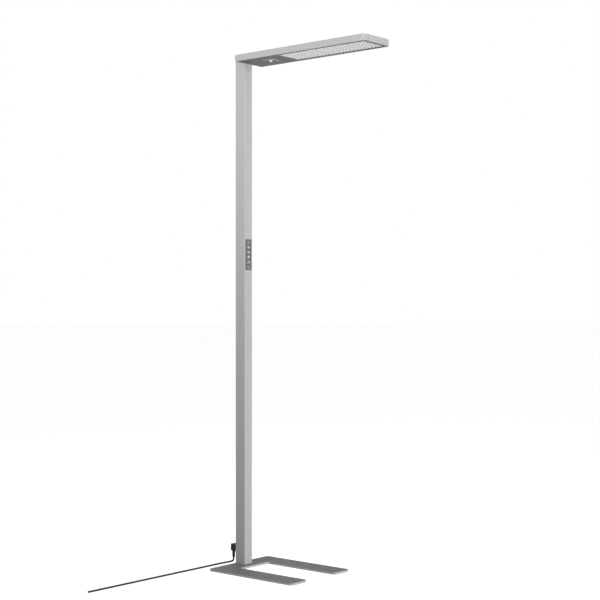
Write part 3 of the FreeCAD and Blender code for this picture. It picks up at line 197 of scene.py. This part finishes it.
def column_silver():
    """The column's satin silver: upright die lines, flakes and slow clouds of tone."""
    made = Finish("satin_silver", Metallic=0.06, Specular_IOR_Level=0.2)
    lines = made.noise(DIE_LINES, stretch=(1, 1, DRAWN_OUT), detail=3.0, rough=0.65)
    flakes = made.noise(FLAKES, detail=1.0)
    clouds = made.noise(grains=7, detail=3.0)
    mask = lines * 0.5 + flakes * 0.3 + clouds * 0.2
    made.give(Base_Color=made.mix(mask, tone(156), tone(176)), Roughness=mask * 0.16 + 0.42,
              Normal=made.bump(lines * 0.7 + flakes * 0.3, SILVER_RELIEF))
    return made


def band_silver():
    """The head band's silver: the die lines follow the band round its corners."""
    made = Finish("band_silver", Metallic=0.06, Specular_IOR_Level=0.2, Coat_Weight=0.35,
                  Coat_Roughness=0.14)
    lines = made.noise(DIE_LINES, stretch=(DRAWN_OUT, DRAWN_OUT, 1), detail=3.0, rough=0.65)
    flakes = made.noise(FLAKES, detail=1.0)
    mask = lines * 0.6 + flakes * 0.4
    made.give(Base_Color=made.mix(mask, tone(154), tone(170)), Roughness=mask * 0.1 + 0.4,
              Normal=made.bump(mask, SILVER_RELIEF))
    return made


def base_paint():
    """Powder coat on the base: a pebbled grey top darkened with painted shade, with painted light on
    its upright edges.
    """
    made = Finish("base_powder_coat", Specular_IOR_Level=0.12)
    pebbles = made.noise(grains=650)
    clouds = made.noise(grains=16, detail=4.0, rough=0.6)
    # The top's dark greys are painted shade, for the little light that falls on the level face.
    coat = made.mix(pebbles * 0.55 + clouds * 0.45, tone(94), tone(118))
    # A lighter tone on the upright edges and walls, picked out by the normal, is painted light.
    painted_light_on_edges = made.rim(0.25, 0.8)
    made.give(Base_Color=made.mix(painted_light_on_edges, coat, tone(170)), Roughness=pebbles * 0.12 + 0.5,
              Normal=made.bump(pebbles, 0.02 * MM))
    return made


def sheet_paint(name, level, shine=0.15, rim=None):
    """Satin paint on a sheet: a faint orange peel and slow changes of tone, with painted light on its
    upright walls where a rim tone is given."""
    made = Finish(name, Specular_IOR_Level=shine)
    peel = made.noise(grains=420)
    clouds = made.noise(grains=11, detail=3.0)
    coat = made.mix(peel * 0.4 + clouds * 0.6, tone(level - 6), tone(level + 6))
    if rim:
        # Painted light: the rim tone on upright walls.
        coat = made.mix(made.rim(0.6, 0.97), coat, tone(rim))
    made.give(Base_Color=coat, Roughness=peel * 0.1 + 0.5, Normal=made.bump(peel, 0.012 * MM))
    return made


def moulded(name, colour, rough=0.45, grains=1600, depth=0.02 * MM, coat=0.0, shine=0.3):
    """Moulded plastic or rubber with a fine spark-eroded grain: its colour runs from 0.93 to 1.05
    of the one given, and its roughness from 0.08 below to 0.08 above."""
    made = Finish(name, Coat_Weight=coat, Coat_Roughness=0.15, Specular_IOR_Level=shine)
    grain = made.noise(grains)
    clouds = made.noise(grains=25)
    mask = grain * 0.6 + clouds * 0.4
    darker = tone(*[0.93 * level for level in colour])
    lighter = tone(*[1.05 * level for level in colour])
    made.give(Base_Color=made.mix(mask, darker, lighter), Roughness=mask * 0.16 + (rough - 0.08),
              Normal=made.bump(grain, depth))
    return made


def clear_acrylic():
    """The prism panel's acrylic: it passes some light to the white tray behind it."""
    made = Finish("prism_acrylic", IOR=1.49, Transmission_Weight=0.15, Coat_Weight=1.0,
                  Coat_Roughness=0.08)
    haze = made.noise(grains=300)
    made.give(Base_Color=made.mix(haze, tone(198, 200, 202), tone(214, 215, 216)),
              Roughness=haze * 0.06 + 0.16)
    return made


def plated(name, level):
    """Plated steel: turned lines round each piece blur into a fine grain."""
    made = Finish(name, Metallic=0.9)
    grain = made.noise(grains=2200)
    made.give(Base_Color=made.mix(grain, tone(level - 14), tone(level + 10)),
              Roughness=grain * 0.15 + 0.26, Normal=made.bump(grain, 0.004 * MM))
    return made


def slot_finishes():
    """The finish of each material slot of the record."""
    return {
        "base_paint": base_paint(),
        "glide_plastic": moulded("glide_plastic", (44, 44, 45), rough=0.6),
        "screw_steel": plated("screw_steel", 176),
        "cast_aluminium": plated("cast_aluminium", 168),
        "satin_silver": column_silver(),
        # The underside sheet's dark grey is painted shade on a face that looks down.
        "cover_silver": sheet_paint("cover_silver", 105),
        "clear_acrylic": clear_acrylic(),
        "white_reflector": moulded("white_reflector", (238, 238, 236), rough=0.5),
        "white_board": moulded("white_board", (226, 228, 226), rough=0.4),
        "light_chip": moulded("light_chip", (236, 224, 170), rough=0.3),
        "driver_case": moulded("driver_case", (206, 206, 204), rough=0.5),
        "grey_plastic": moulded("grey_plastic", (128, 128, 128)),
        "sensor_lens_plastic": moulded("sensor_lens", (236, 236, 236), rough=0.16,
                                       depth=0.002 * MM, coat=0.6),
        "green_board": moulded("circuit_board", (32, 84, 52), rough=0.35),
        "strip_plastic": moulded("strip_plastic", (91, 87, 86), rough=0.4),
        "switch_black": moulded("switch_black", (28, 28, 28), rough=0.4),
        "black_plastic": moulded("black_plastic", (21, 21, 22), rough=0.42, shine=0.2),
        "brass_pin": plated("brass_pin", 190),
        "boot_rubber": moulded("boot_rubber", (21, 21, 22), rough=0.5, shine=0.2),
        "cord_rubber": moulded("cord_sheath", (40, 40, 41), grains=900, shine=0.2),
    }


FINISHES = slot_finishes()
SLOT = {node: thing.material_slots[0].material.name for node, thing in frame["nodes"].items()}


def plain_nodes():
    """Every CAD node that still shows gets the finish of its slot."""
    for name, thing in frame["nodes"].items():
        for place in thing.material_slots:
            place.material = FINISHES[SLOT[name]].material


# ------------------------------------------------------------------ making pieces
CAD_MERGE = 0.001 * MM
GRID_MERGE = 0.002 * MM
FLAT_WITHIN = math.radians(0.5)
CAD_SHARP = math.radians(30)
EASED_FROM = math.radians(35)


def piece_from(name, data, slot, finish=None, body=LAMP):
    """A mesh or curve made a piece of the lamp: the finish of its slot, or the one given, and its
    body.
    """
    piece = bpy.data.objects.new(name, data)
    bpy.context.scene.collection.objects.link(piece)
    data.materials.clear()
    data.materials.append((finish or FINISHES[slot]).material)
    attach(piece, body)
    return piece


def grid_faces(rows, columns):
    """The four-sided faces between the points of a grid, closed round each row."""
    here = np.arange(rows * columns).reshape(rows, columns)
    beside = np.roll(here, -1, axis=1)
    return np.stack([here[:-1], beside[:-1], beside[1:], here[1:]], axis=-1).reshape(-1, 4)


def skin(name, grids, smooth=40):
    """One mesh over several grids of points; rows drawn to a point close into a pole. Edges
    that turn by more than smooth degrees stay sharp."""
    points, faces, count = [], [], 0
    for grid in grids:
        rows, columns = grid.shape[:2]
        points.append(grid.reshape(-1, 3))
        faces.append(grid_faces(rows, columns) + count)
        count += rows * columns
    mesh = bpy.data.meshes.new(name)
    mesh.from_pydata(np.concatenate(points).tolist(), [], np.concatenate(faces).tolist())
    work = bmesh.new()
    work.from_mesh(mesh)
    bmesh.ops.remove_doubles(work, verts=work.verts, dist=GRID_MERGE)
    bmesh.ops.recalc_face_normals(work, faces=work.faces)
    work.to_mesh(mesh)
    work.free()
    mesh.shade_smooth()
    mesh.set_sharp_from_angle(angle=math.radians(smooth))
    return mesh


def turned(profile, centre, turns=48):
    """Points of a turned form: each (radius, height) of the profile, at each angle, lies at the
    centre plus radius times cosine, radius times sine, and height."""
    radius, height = np.array(profile, float).T[:, :, None]
    angle = np.linspace(0, math.tau, turns, endpoint=False)
    x = centre[0] + radius * np.cos(angle)
    y = centre[1] + radius * np.sin(angle)
    z = np.broadcast_to(centre[2] + height, x.shape)
    return np.stack([x, y, z], axis=-1)


def eased(node, name, width, finish=None):
    """A CAD piece with its triangles merged into whole faces, and its sharp edges rounded over by
    a bevel where a width is given."""
    source = frame["nodes"][node]
    mesh = source.data.copy()
    mesh.name = name
    work = bmesh.new()
    work.from_mesh(mesh)
    bmesh.ops.remove_doubles(work, verts=work.verts, dist=CAD_MERGE)
    bmesh.ops.dissolve_limit(work, angle_limit=FLAT_WITHIN, verts=work.verts, edges=work.edges)
    work.to_mesh(mesh)
    work.free()
    mesh.shade_smooth()
    mesh.set_sharp_from_angle(angle=CAD_SHARP)
    piece = piece_from(name, mesh, SLOT[node], finish, source["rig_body"])
    if width:
        bevel = piece.modifiers.new("eased edges", "BEVEL")
        bevel.width = width
        bevel.segments = 2
        bevel.limit_method = "ANGLE"
        bevel.angle_limit = EASED_FROM
        bevel.use_clamp_overlap = True
        shading = piece.modifiers.new("broad faces stay flat", "WEIGHTED_NORMAL")
        shading.keep_sharp = True
    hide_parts(node)


# ------------------------------------------------------------------ shells
def shells():
    """The pieces whose CAD form is right and whose edges are rounded over as on the real ones."""
    eased("base_plate", "base_u_plate", 0.3 * MM)
    eased("column_profile", "column_tube", 0.25 * MM)
    eased("column_top_cap", "column_cap", 0.25 * MM)
    eased("head_end_plate", "head_back_wall", 0.25 * MM)
    eased("head_frame", "head_band", 0.45 * MM, band_silver())
    eased("underside_cover", "underside_sheet", 0.2 * MM)
    # The lid's tone, lighter than the other silvers, is painted light for the little light that falls
    # from above.
    eased("top_cover", "top_lid", 0.2 * MM, sheet_paint("lid_silver", 186, shine=0.06))
    eased("control_bezel", "key_strip_face", 0.25 * MM)
    # The dish's dark face is painted shade like the underside sheet, and the lighter tone on its
    # upright walls is a painted highlight.
    eased("sensor_collar", "sensor_dish", 0.2 * MM, sheet_paint("collar_silver", 105, rim=186))
    eased("mains_inlet", "inlet_socket", 0.3 * MM)
    eased("floor_glides", "glide_pads", 0.3 * MM)
    eased("sensor_lens", "sensor_dome", 0)
    key_plastic = moulded("key_plastic", (111, 107, 106))
    for key in KEYS:
        eased(key, key + "_cap", 0.3 * MM, key_plastic)


# ------------------------------------------------------------------ camera, room and lamps
# The camera looks level, and its frame is shifted up a little.
CAMERA_PLACE = (3.37285, -3.6891, 0.987)
CAMERA_LENS = 77.84
CAMERA_SENSOR = 36.0
CAMERA_TURN = math.atan2(0.6422, 0.7665)
FRAME_SHIFT = 0.01495

ROOM_LIGHT = 0.31
FLOOR_LIFT = 0.82
FLOOR_REACH = 60.0
WHITE = (1, 1, 1, 1)

# Each soft box: its place, its aim, its width, its height and its power in watts.
SOFT_LAMPS = {
    "side_lamp": ((0.1, -1.35, 1.93), (0.1, 0, 1.8), 0.8, 0.8, 16.4),
    "corner_lamp": ((2.2, -2.6, 2.7), (0.6, 0, 1.9), 0.5, 0.5, 12),
    "far_lamp": ((6.0, -0.3, 1.15), (0, 0, 1.05), 1.4, 2.3, 314),
    "back_lamp": ((-4.0, -0.5, 1.3), (0, 0, 1.1), 2.0, 2.0, 55),
}


def camera():
    """The camera, with the lens and the place fitted to the lamp's own size."""
    data = bpy.data.cameras.new("camera")
    data.sensor_width = CAMERA_SENSOR
    data.lens = CAMERA_LENS
    data.shift_y = FRAME_SHIFT
    made = bpy.data.objects.new("camera", data)
    made.location = CAMERA_PLACE
    made.rotation_euler = Euler((math.pi / 2, 0, CAMERA_TURN))
    bpy.context.scene.collection.objects.link(made)
    bpy.context.scene.camera = made


def soft_lamps():
    """Rectangular soft boxes that point from their place at their aim."""
    for name, (place, aim, width, height, watts) in SOFT_LAMPS.items():
        data = bpy.data.lights.new(name, "AREA")
        data.shape = "RECTANGLE"
        data.size = width
        data.size_y = height
        data.energy = watts
        made = bpy.data.objects.new(name, data)
        made.location = place
        made.rotation_euler = (Vector(aim) - Vector(place)).to_track_quat("-Z", "Y").to_euler()
        made.visible_camera = False
        bpy.context.scene.collection.objects.link(made)


def shown_rays(tree):
    """1 for rays that show the backdrop to the camera, in a reflection or through glass."""
    rays = tree.nodes.new("ShaderNodeLightPath")
    total = rays.outputs["Is Camera Ray"]
    for kind in ("Is Glossy Ray", "Is Transmission Ray"):
        both = tree.nodes.new("ShaderNodeMath")
        both.operation = "MAXIMUM"
        tree.links.new(total, both.inputs[0])
        tree.links.new(rays.outputs[kind], both.inputs[1])
        total = both.outputs[0]
    return total


def backdrop():
    """A backdrop that shows white, and lights the lamp with only a part of that white."""
    world = bpy.data.worlds.new("room")
    bpy.context.scene.world = world
    tree = bare_tree(world)
    light = tree.nodes.new("ShaderNodeBackground")
    light.inputs["Strength"].default_value = ROOM_LIGHT
    white = tree.nodes.new("ShaderNodeBackground")
    mix = tree.nodes.new("ShaderNodeMixShader")
    out = tree.nodes.new("ShaderNodeOutputWorld")
    for background in (light, white):
        background.inputs["Color"].default_value = WHITE
    tree.links.new(shown_rays(tree), mix.inputs[0])
    tree.links.new(light.outputs[0], mix.inputs[1])
    tree.links.new(white.outputs[0], mix.inputs[2])
    tree.links.new(mix.outputs[0], out.inputs["Surface"])
    bpy.context.scene.view_settings.view_transform = "Standard"


def floor_paint():
    """Matt pale grey, lifted to near white for the rays that show it."""
    pale = bpy.data.materials.new("pale_floor")
    tree = bare_tree(pale)
    matt = tree.nodes.new("ShaderNodeBsdfDiffuse")
    matt.inputs["Color"].default_value = tone(190)
    glow = tree.nodes.new("ShaderNodeEmission")
    lift = tree.nodes.new("ShaderNodeMath")
    lift.operation = "MULTIPLY"
    lift.inputs[1].default_value = FLOOR_LIFT
    both = tree.nodes.new("ShaderNodeAddShader")
    out = tree.nodes.new("ShaderNodeOutputMaterial")
    tree.links.new(shown_rays(tree), lift.inputs[0])
    tree.links.new(lift.outputs[0], glow.inputs["Strength"])
    tree.links.new(matt.outputs[0], both.inputs[0])
    tree.links.new(glow.outputs[0], both.inputs[1])
    tree.links.new(both.outputs[0], out.inputs["Surface"])
    return pale


def floor():
    """One square of floor, which keeps the lamp's shadow."""
    mesh = bpy.data.meshes.new("floor")
    corners = [(x * FLOOR_REACH, y * FLOOR_REACH, 0) for x, y in ((-1, -1), (1, -1), (1, 1), (-1, 1))]
    mesh.from_pydata(corners, [], [(0, 1, 2, 3)])
    mesh.materials.append(floor_paint())
    made = bpy.data.objects.new("floor", mesh)
    bpy.context.scene.collection.objects.link(made)


# ------------------------------------------------------------------ cord, boot and plug
CORD_EXIT = (-53.25, 0.0, 26.2)
CORD_ROUTE = [
    CORD_EXIT,
    (-53.25, 0.0, 14.0),
    (-60.0, -6.0, 9.5),
    (-69.0, -22.0, 7.5),
    (-80.0, -45.0, 5.0),
    (-85.0, -75.0, 3.5),
    (-84.9, -106.0, 3.5),
    (-85.9, -707.0, 3.5),
]
CORD_THICK = 0.007

# The boot: its radii, the depth of the grooves between its rings, and the share of its height
# at each end in which the grooves fade out.
BOOT_RADIUS_TOP = 6.3 * MM
BOOT_RADIUS_END = 5.0 * MM
BOOT_RINGS = 7
BOOT_GROOVE = 0.55 * MM
BOOT_PLAIN_END = 0.05
BOOT_ROWS = 141

# The plug: its corners, the round of its back, the chamfer of its face, and its grip ribs, which
# lie between two shares of its length. Top and bottom draw in by a share of what the sides do.
PLUG_CORNER = 2.6 * MM
PLUG_BACK_ROUND = 5 * MM
PLUG_CHAMFER = 0.5 * MM
PLUG_CHAMFER_LENGTH = 0.8 * MM
PLUG_TOP_SHARE = 0.7
PLUG_ROWS = 81
GRIP_START = 0.45
GRIP_END = 0.82
GRIP_RIBS = 6
GRIP_DEPTH = 0.35 * MM

# Turned profiles of (radius, height) in millimetres: the plug's collar over the boot, and one
# insulated core in the cut end of the lead.
PLUG_COLLAR = [(0, 0.4), (7.4, 0.4), (7.4, -1.0), (6.9, -1.6), (0, -1.6)]
CORE_END = [(0, 0.15), (0.9, 0.15), (1.1, 0.05), (1.1, -0.4)]
CORE_COUNT = 3
CORE_FROM_AXIS = 1.45


def mains_lead():
    """The free lead: one smooth spline from the boot down to the floor and straight along it."""
    curve = bpy.data.curves.new("mains_lead", "CURVE")
    curve.dimensions = "3D"
    curve.bevel_depth = CORD_THICK / 2
    curve.bevel_resolution = 6
    curve.use_fill_caps = True
    curve.resolution_u = 24
    line = curve.splines.new("NURBS")
    line.points.add(len(CORD_ROUTE) - 1)
    for point, place in zip(line.points, CORD_ROUTE):
        point.co = (*(MM * value for value in place), 1.0)
    line.order_u = 3
    line.use_endpoint_u = True
    piece = piece_from("mains_lead", curve, "cord_rubber")
    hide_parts("mains_cord")
    return piece


def strain_relief():
    """A tapered sleeve of soft rings. Its radius falls in proportion to the way down, less a
    groove wherever a sine with one half wave to each ring comes down to zero."""
    low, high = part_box("connector_boot")
    way = np.linspace(0, 1, BOOT_ROWS)
    taper = BOOT_RADIUS_TOP + (BOOT_RADIUS_END - BOOT_RADIUS_TOP) * way
    wave = np.abs(np.sin(math.pi * BOOT_RINGS * way)) ** 0.5
    fade = np.clip(way / BOOT_PLAIN_END, 0, 1) * np.clip((1 - way) / BOOT_PLAIN_END, 0, 1)
    radius = taper - BOOT_GROOVE * (1 - wave) * fade
    down = -way * (high.z - low.z)
    profile = np.stack([np.r_[0, radius, 0], np.r_[0, down, down[-1]]], axis=1)
    grid = turned(profile, (CORD_EXIT[0] * MM, 0, high.z))
    piece = piece_from("strain_relief", skin("strain_relief", [grid]), "boot_rubber")
    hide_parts("connector_boot")
    return piece


def rounded_sections(wide, tall, corner, turns=96):
    """Points round upright rectangles with round corners, a row of them for each width and
    height: at each angle the corner's centre, on the angle's own side, plus the corner's radius
    times cosine and sine."""
    angle = np.linspace(0, math.tau, turns, endpoint=False) + math.tau / turns / 2
    side, up = np.cos(angle), np.sin(angle)
    return (np.sign(side) * (wide / 2 - corner) + corner * side,
            np.sign(up) * (tall / 2 - corner) + corner * up)


def plug_body():
    """The moulded plug: rounded sections along X. The sides draw in by a quarter circle at the
    back, by a straight chamfer at the face, and by the square of a sine at each grip rib."""
    low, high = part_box("mains_connector")
    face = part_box("mains_inlet")[0].x
    length = face - low.x
    middle = (low.z + high.z) / 2
    way = np.linspace(0, 1, PLUG_ROWS)[:, None]
    into_round = np.clip(PLUG_BACK_ROUND - (1 - way) * length, 0, None)
    inset = PLUG_BACK_ROUND - np.sqrt(np.clip(PLUG_BACK_ROUND ** 2 - into_round ** 2, 0, None))
    inset = inset + PLUG_CHAMFER * np.clip(1 - way * length / PLUG_CHAMFER_LENGTH, 0, 1)
    grip_way = (way - GRIP_START) / (GRIP_END - GRIP_START)
    in_grip = (grip_way > 0) & (grip_way < 1)
    rib = np.where(in_grip, GRIP_DEPTH * np.sin(math.pi * GRIP_RIBS * grip_way) ** 2, 0)
    y, z = rounded_sections(high.y - low.y - 2 * inset - 2 * rib,
                            high.z - low.z - 2 * PLUG_TOP_SHARE * inset, PLUG_CORNER)
    x = np.broadcast_to(face - way * length, y.shape)
    grid = np.stack([x, y, middle + z], axis=-1)
    start = np.broadcast_to([face, 0, middle], grid[:1].shape)
    end = np.broadcast_to([low.x, 0, middle], grid[:1].shape)
    grid = np.concatenate([start, grid, end])
    collar = turned(PLUG_COLLAR, (CORD_EXIT[0], 0, low.z / MM)) * MM
    piece = piece_from("plug_body", skin("plug_body", [grid, collar]), "black_plastic")
    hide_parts("mains_connector")
    return piece


def lead_cores():
    """The blunt end of the lead: the insulated cores show in the cut sheath, each a turned disc
    laid to face along -Y, evenly round the lead's axis."""
    disc = turned(CORE_END, (0, 0, 0), turns=20)
    laid = np.stack([disc[..., 0], -disc[..., 2], disc[..., 1]], axis=-1)
    grids = []
    for number in range(CORE_COUNT):
        angle = math.tau * number / CORE_COUNT + math.pi / 2
        way = np.array([math.cos(angle), 0, math.sin(angle)])
        grids.append((laid + CORD_ROUTE[-1] + CORE_FROM_AXIS * way) * MM)
    return piece_from("lead_cores", skin("lead_cores", grids), "cord_rubber",
                      FINISHES["grey_plastic"])


def cord_and_plug():
    """The lead with what belongs to it."""
    lead = mains_lead()
    belongings = [strain_relief(), plug_body(), lead_cores()]


# ------------------------------------------------------------------ marks on the keys
# Millimetres from the middle of the key's face: across it and up it.
SUN_RAYS = 8
RAY_THICK = 1.2
PRINT_RISE = 0.06 * MM


def ring(outer, inner):
    """A flat ring as two loops: each radius times the cosine and sine of even angles."""
    angle = np.linspace(0, math.tau, 40, endpoint=False)
    circle = np.stack([np.cos(angle), np.sin(angle)], axis=-1)
    return outer * circle, inner * circle


def bar(start, end, thick):
    """A straight bar between two points, as a four-cornered loop round its own middle."""
    start, end = np.array(start, float), np.array(end, float)
    along = (end - start) / np.linalg.norm(end - start)
    side = np.array([-along[1], along[0]]) * thick / 2
    loop = np.stack([start - side, end - side, end + side, start + side])
    return loop, np.broadcast_to((start + end) / 2, loop.shape)


def sun(disc, near, far):
    """A disc, with short rays round it from a near to a far radius."""
    marks = [ring(disc, 0)]
    for angle in np.linspace(0, math.tau, SUN_RAYS, endpoint=False):
        way = np.array([math.cos(angle), math.sin(angle)])
        marks.append(bar(near * way, far * way, RAY_THICK))
    return marks


def wedge(tip, base, wide):
    """A filled triangle with its tip at one height and its base at another."""
    loop = np.array([(0, tip), (wide / 2, base), (-wide / 2, base)], float)
    return loop, np.broadcast_to(loop.mean(axis=0), loop.shape)


MARKS = {
    "key_presence": [ring(4.4, 3.2), ring(1.5, 0)],
    "key_uplight": sun(2.7, 3.7, 5.6),
    "key_downlight": sun(3.3, 4.3, 6.5),
    "key_dim_down": [wedge(-6.0, 5.4, 11.0)],
    "key_dim_up": [bar((-4.8, -5.6), (-1.5, 5.6), 2.4), bar((4.8, -5.6), (1.5, 5.6), 2.4)],
    "key_standby": [ring(4.2, 3.1), bar((0, -1.3), (0, 1.7), 1.3)],
}
DIM_MARKS = ("key_presence", "key_standby")


def key_marks():
    """Light signs printed on the keys: each loop becomes a thin closed plate on the key's face."""
    bright = moulded("mark_print", (196, 195, 193), rough=0.5)
    dim = moulded("dim_mark_print", (158, 156, 154), rough=0.5)
    for key, marks in MARKS.items():
        low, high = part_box(key)
        middle = (low.z + high.z) / 2
        grids = []
        for outer, inner in marks:
            rows = [(inner, 0), (outer, 0), (outer, PRINT_RISE), (inner, PRINT_RISE), (inner, 0)]
            grids.append(np.stack([
                np.stack([np.full(len(loop), high.x + lift), loop[:, 0] * MM,
                          middle + loop[:, 1] * MM], axis=-1) for loop, lift in rows]))
        finish = dim if key in DIM_MARKS else bright
        piece_from(key + "_mark", skin(key + "_mark", grids), SLOT[key], finish, body=key)


# ------------------------------------------------------------------ screws that show
# Each set: its CAD node, its columns along X, and 1 or -1 for heads that face up or down. Then
# in millimetres the width and depth of the head, the width of the shank, and the width across
# flats and the depth of the hexagon socket.
SCREWS = {
    "lid_screws": dict(node="top_cover_screws", columns=2, up=1, head=4.7, cone=1.1, shank=2.5,
                       across=1.9, well=0.9),
    "column_cap_screws": dict(node="cap_screws", columns=1, up=1, head=5.6, cone=1.3, shank=3.0,
                              across=2.2, well=1.1),
    "base_foot_screws": dict(node="foot_screws", columns=2, up=-1, head=12.0, cone=3.0,
                             shank=6.0, across=4.6, well=2.2),
}
HEAD_RIM = 0.25
SOCKET_TAPER = 0.96
SOCKET_CHAMFER = 0.1
SOCKET_FLARE = 0.12


def socket_screw(place, up, head, cone, shank, length, across, well):
    """A countersunk screw turned round Z. Head and shank have one radius at every angle, and the
    socket has a hexagon's: half the width across flats over the cosine of the angle from the
    middle of the nearest flat."""
    angle = np.linspace(0, math.tau, 48, endpoint=False)
    hexagon = across / 2 / np.cos((angle % (math.tau / 6)) - math.pi / 6)
    circle = np.ones(len(angle))
    rows = [(0 * circle, -well), (hexagon * SOCKET_TAPER, -well), (hexagon, -SOCKET_CHAMFER),
            (hexagon + SOCKET_FLARE, 0), (head / 2 * circle, 0), (head / 2 * circle, -HEAD_RIM),
            (shank / 2 * circle, -cone), (shank / 2 * circle, -length), (0 * circle, -length)]
    radius = np.stack([row for row, height in rows]) * MM
    height = np.array([height for row, height in rows])[:, None] * MM
    return np.stack([place[0] + radius * np.cos(angle), place[1] + radius * np.sin(angle),
                     np.broadcast_to(place[2] + up * height, radius.shape)], axis=-1)


def screw_set(name, node, columns, up, head, **sizes):
    """All the screws of one CAD node, in two rows and in columns that its box gives."""
    low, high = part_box(node)
    face = high.z if up > 0 else low.z
    length = (high.z - low.z) / MM
    half = head * MM / 2
    grids = [socket_screw((x, y, face), up, head, length=length, **sizes)
             for x in np.linspace(low.x + half, high.x - half, columns)
             for y in (low.y + half, high.y - half)]
    piece = piece_from(name, skin(name, grids, smooth=30), "screw_steel")
    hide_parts(node)


def shown_screws():
    """The screws in the lid, in the column's cap and under the base."""
    for name, sizes in SCREWS.items():
        screw_set(name, **sizes)


# ------------------------------------------------------------------ the scene
plain_nodes()
camera()
backdrop()
floor()
soft_lamps()
cord_and_plug()
shells()
key_marks()
shown_screws()
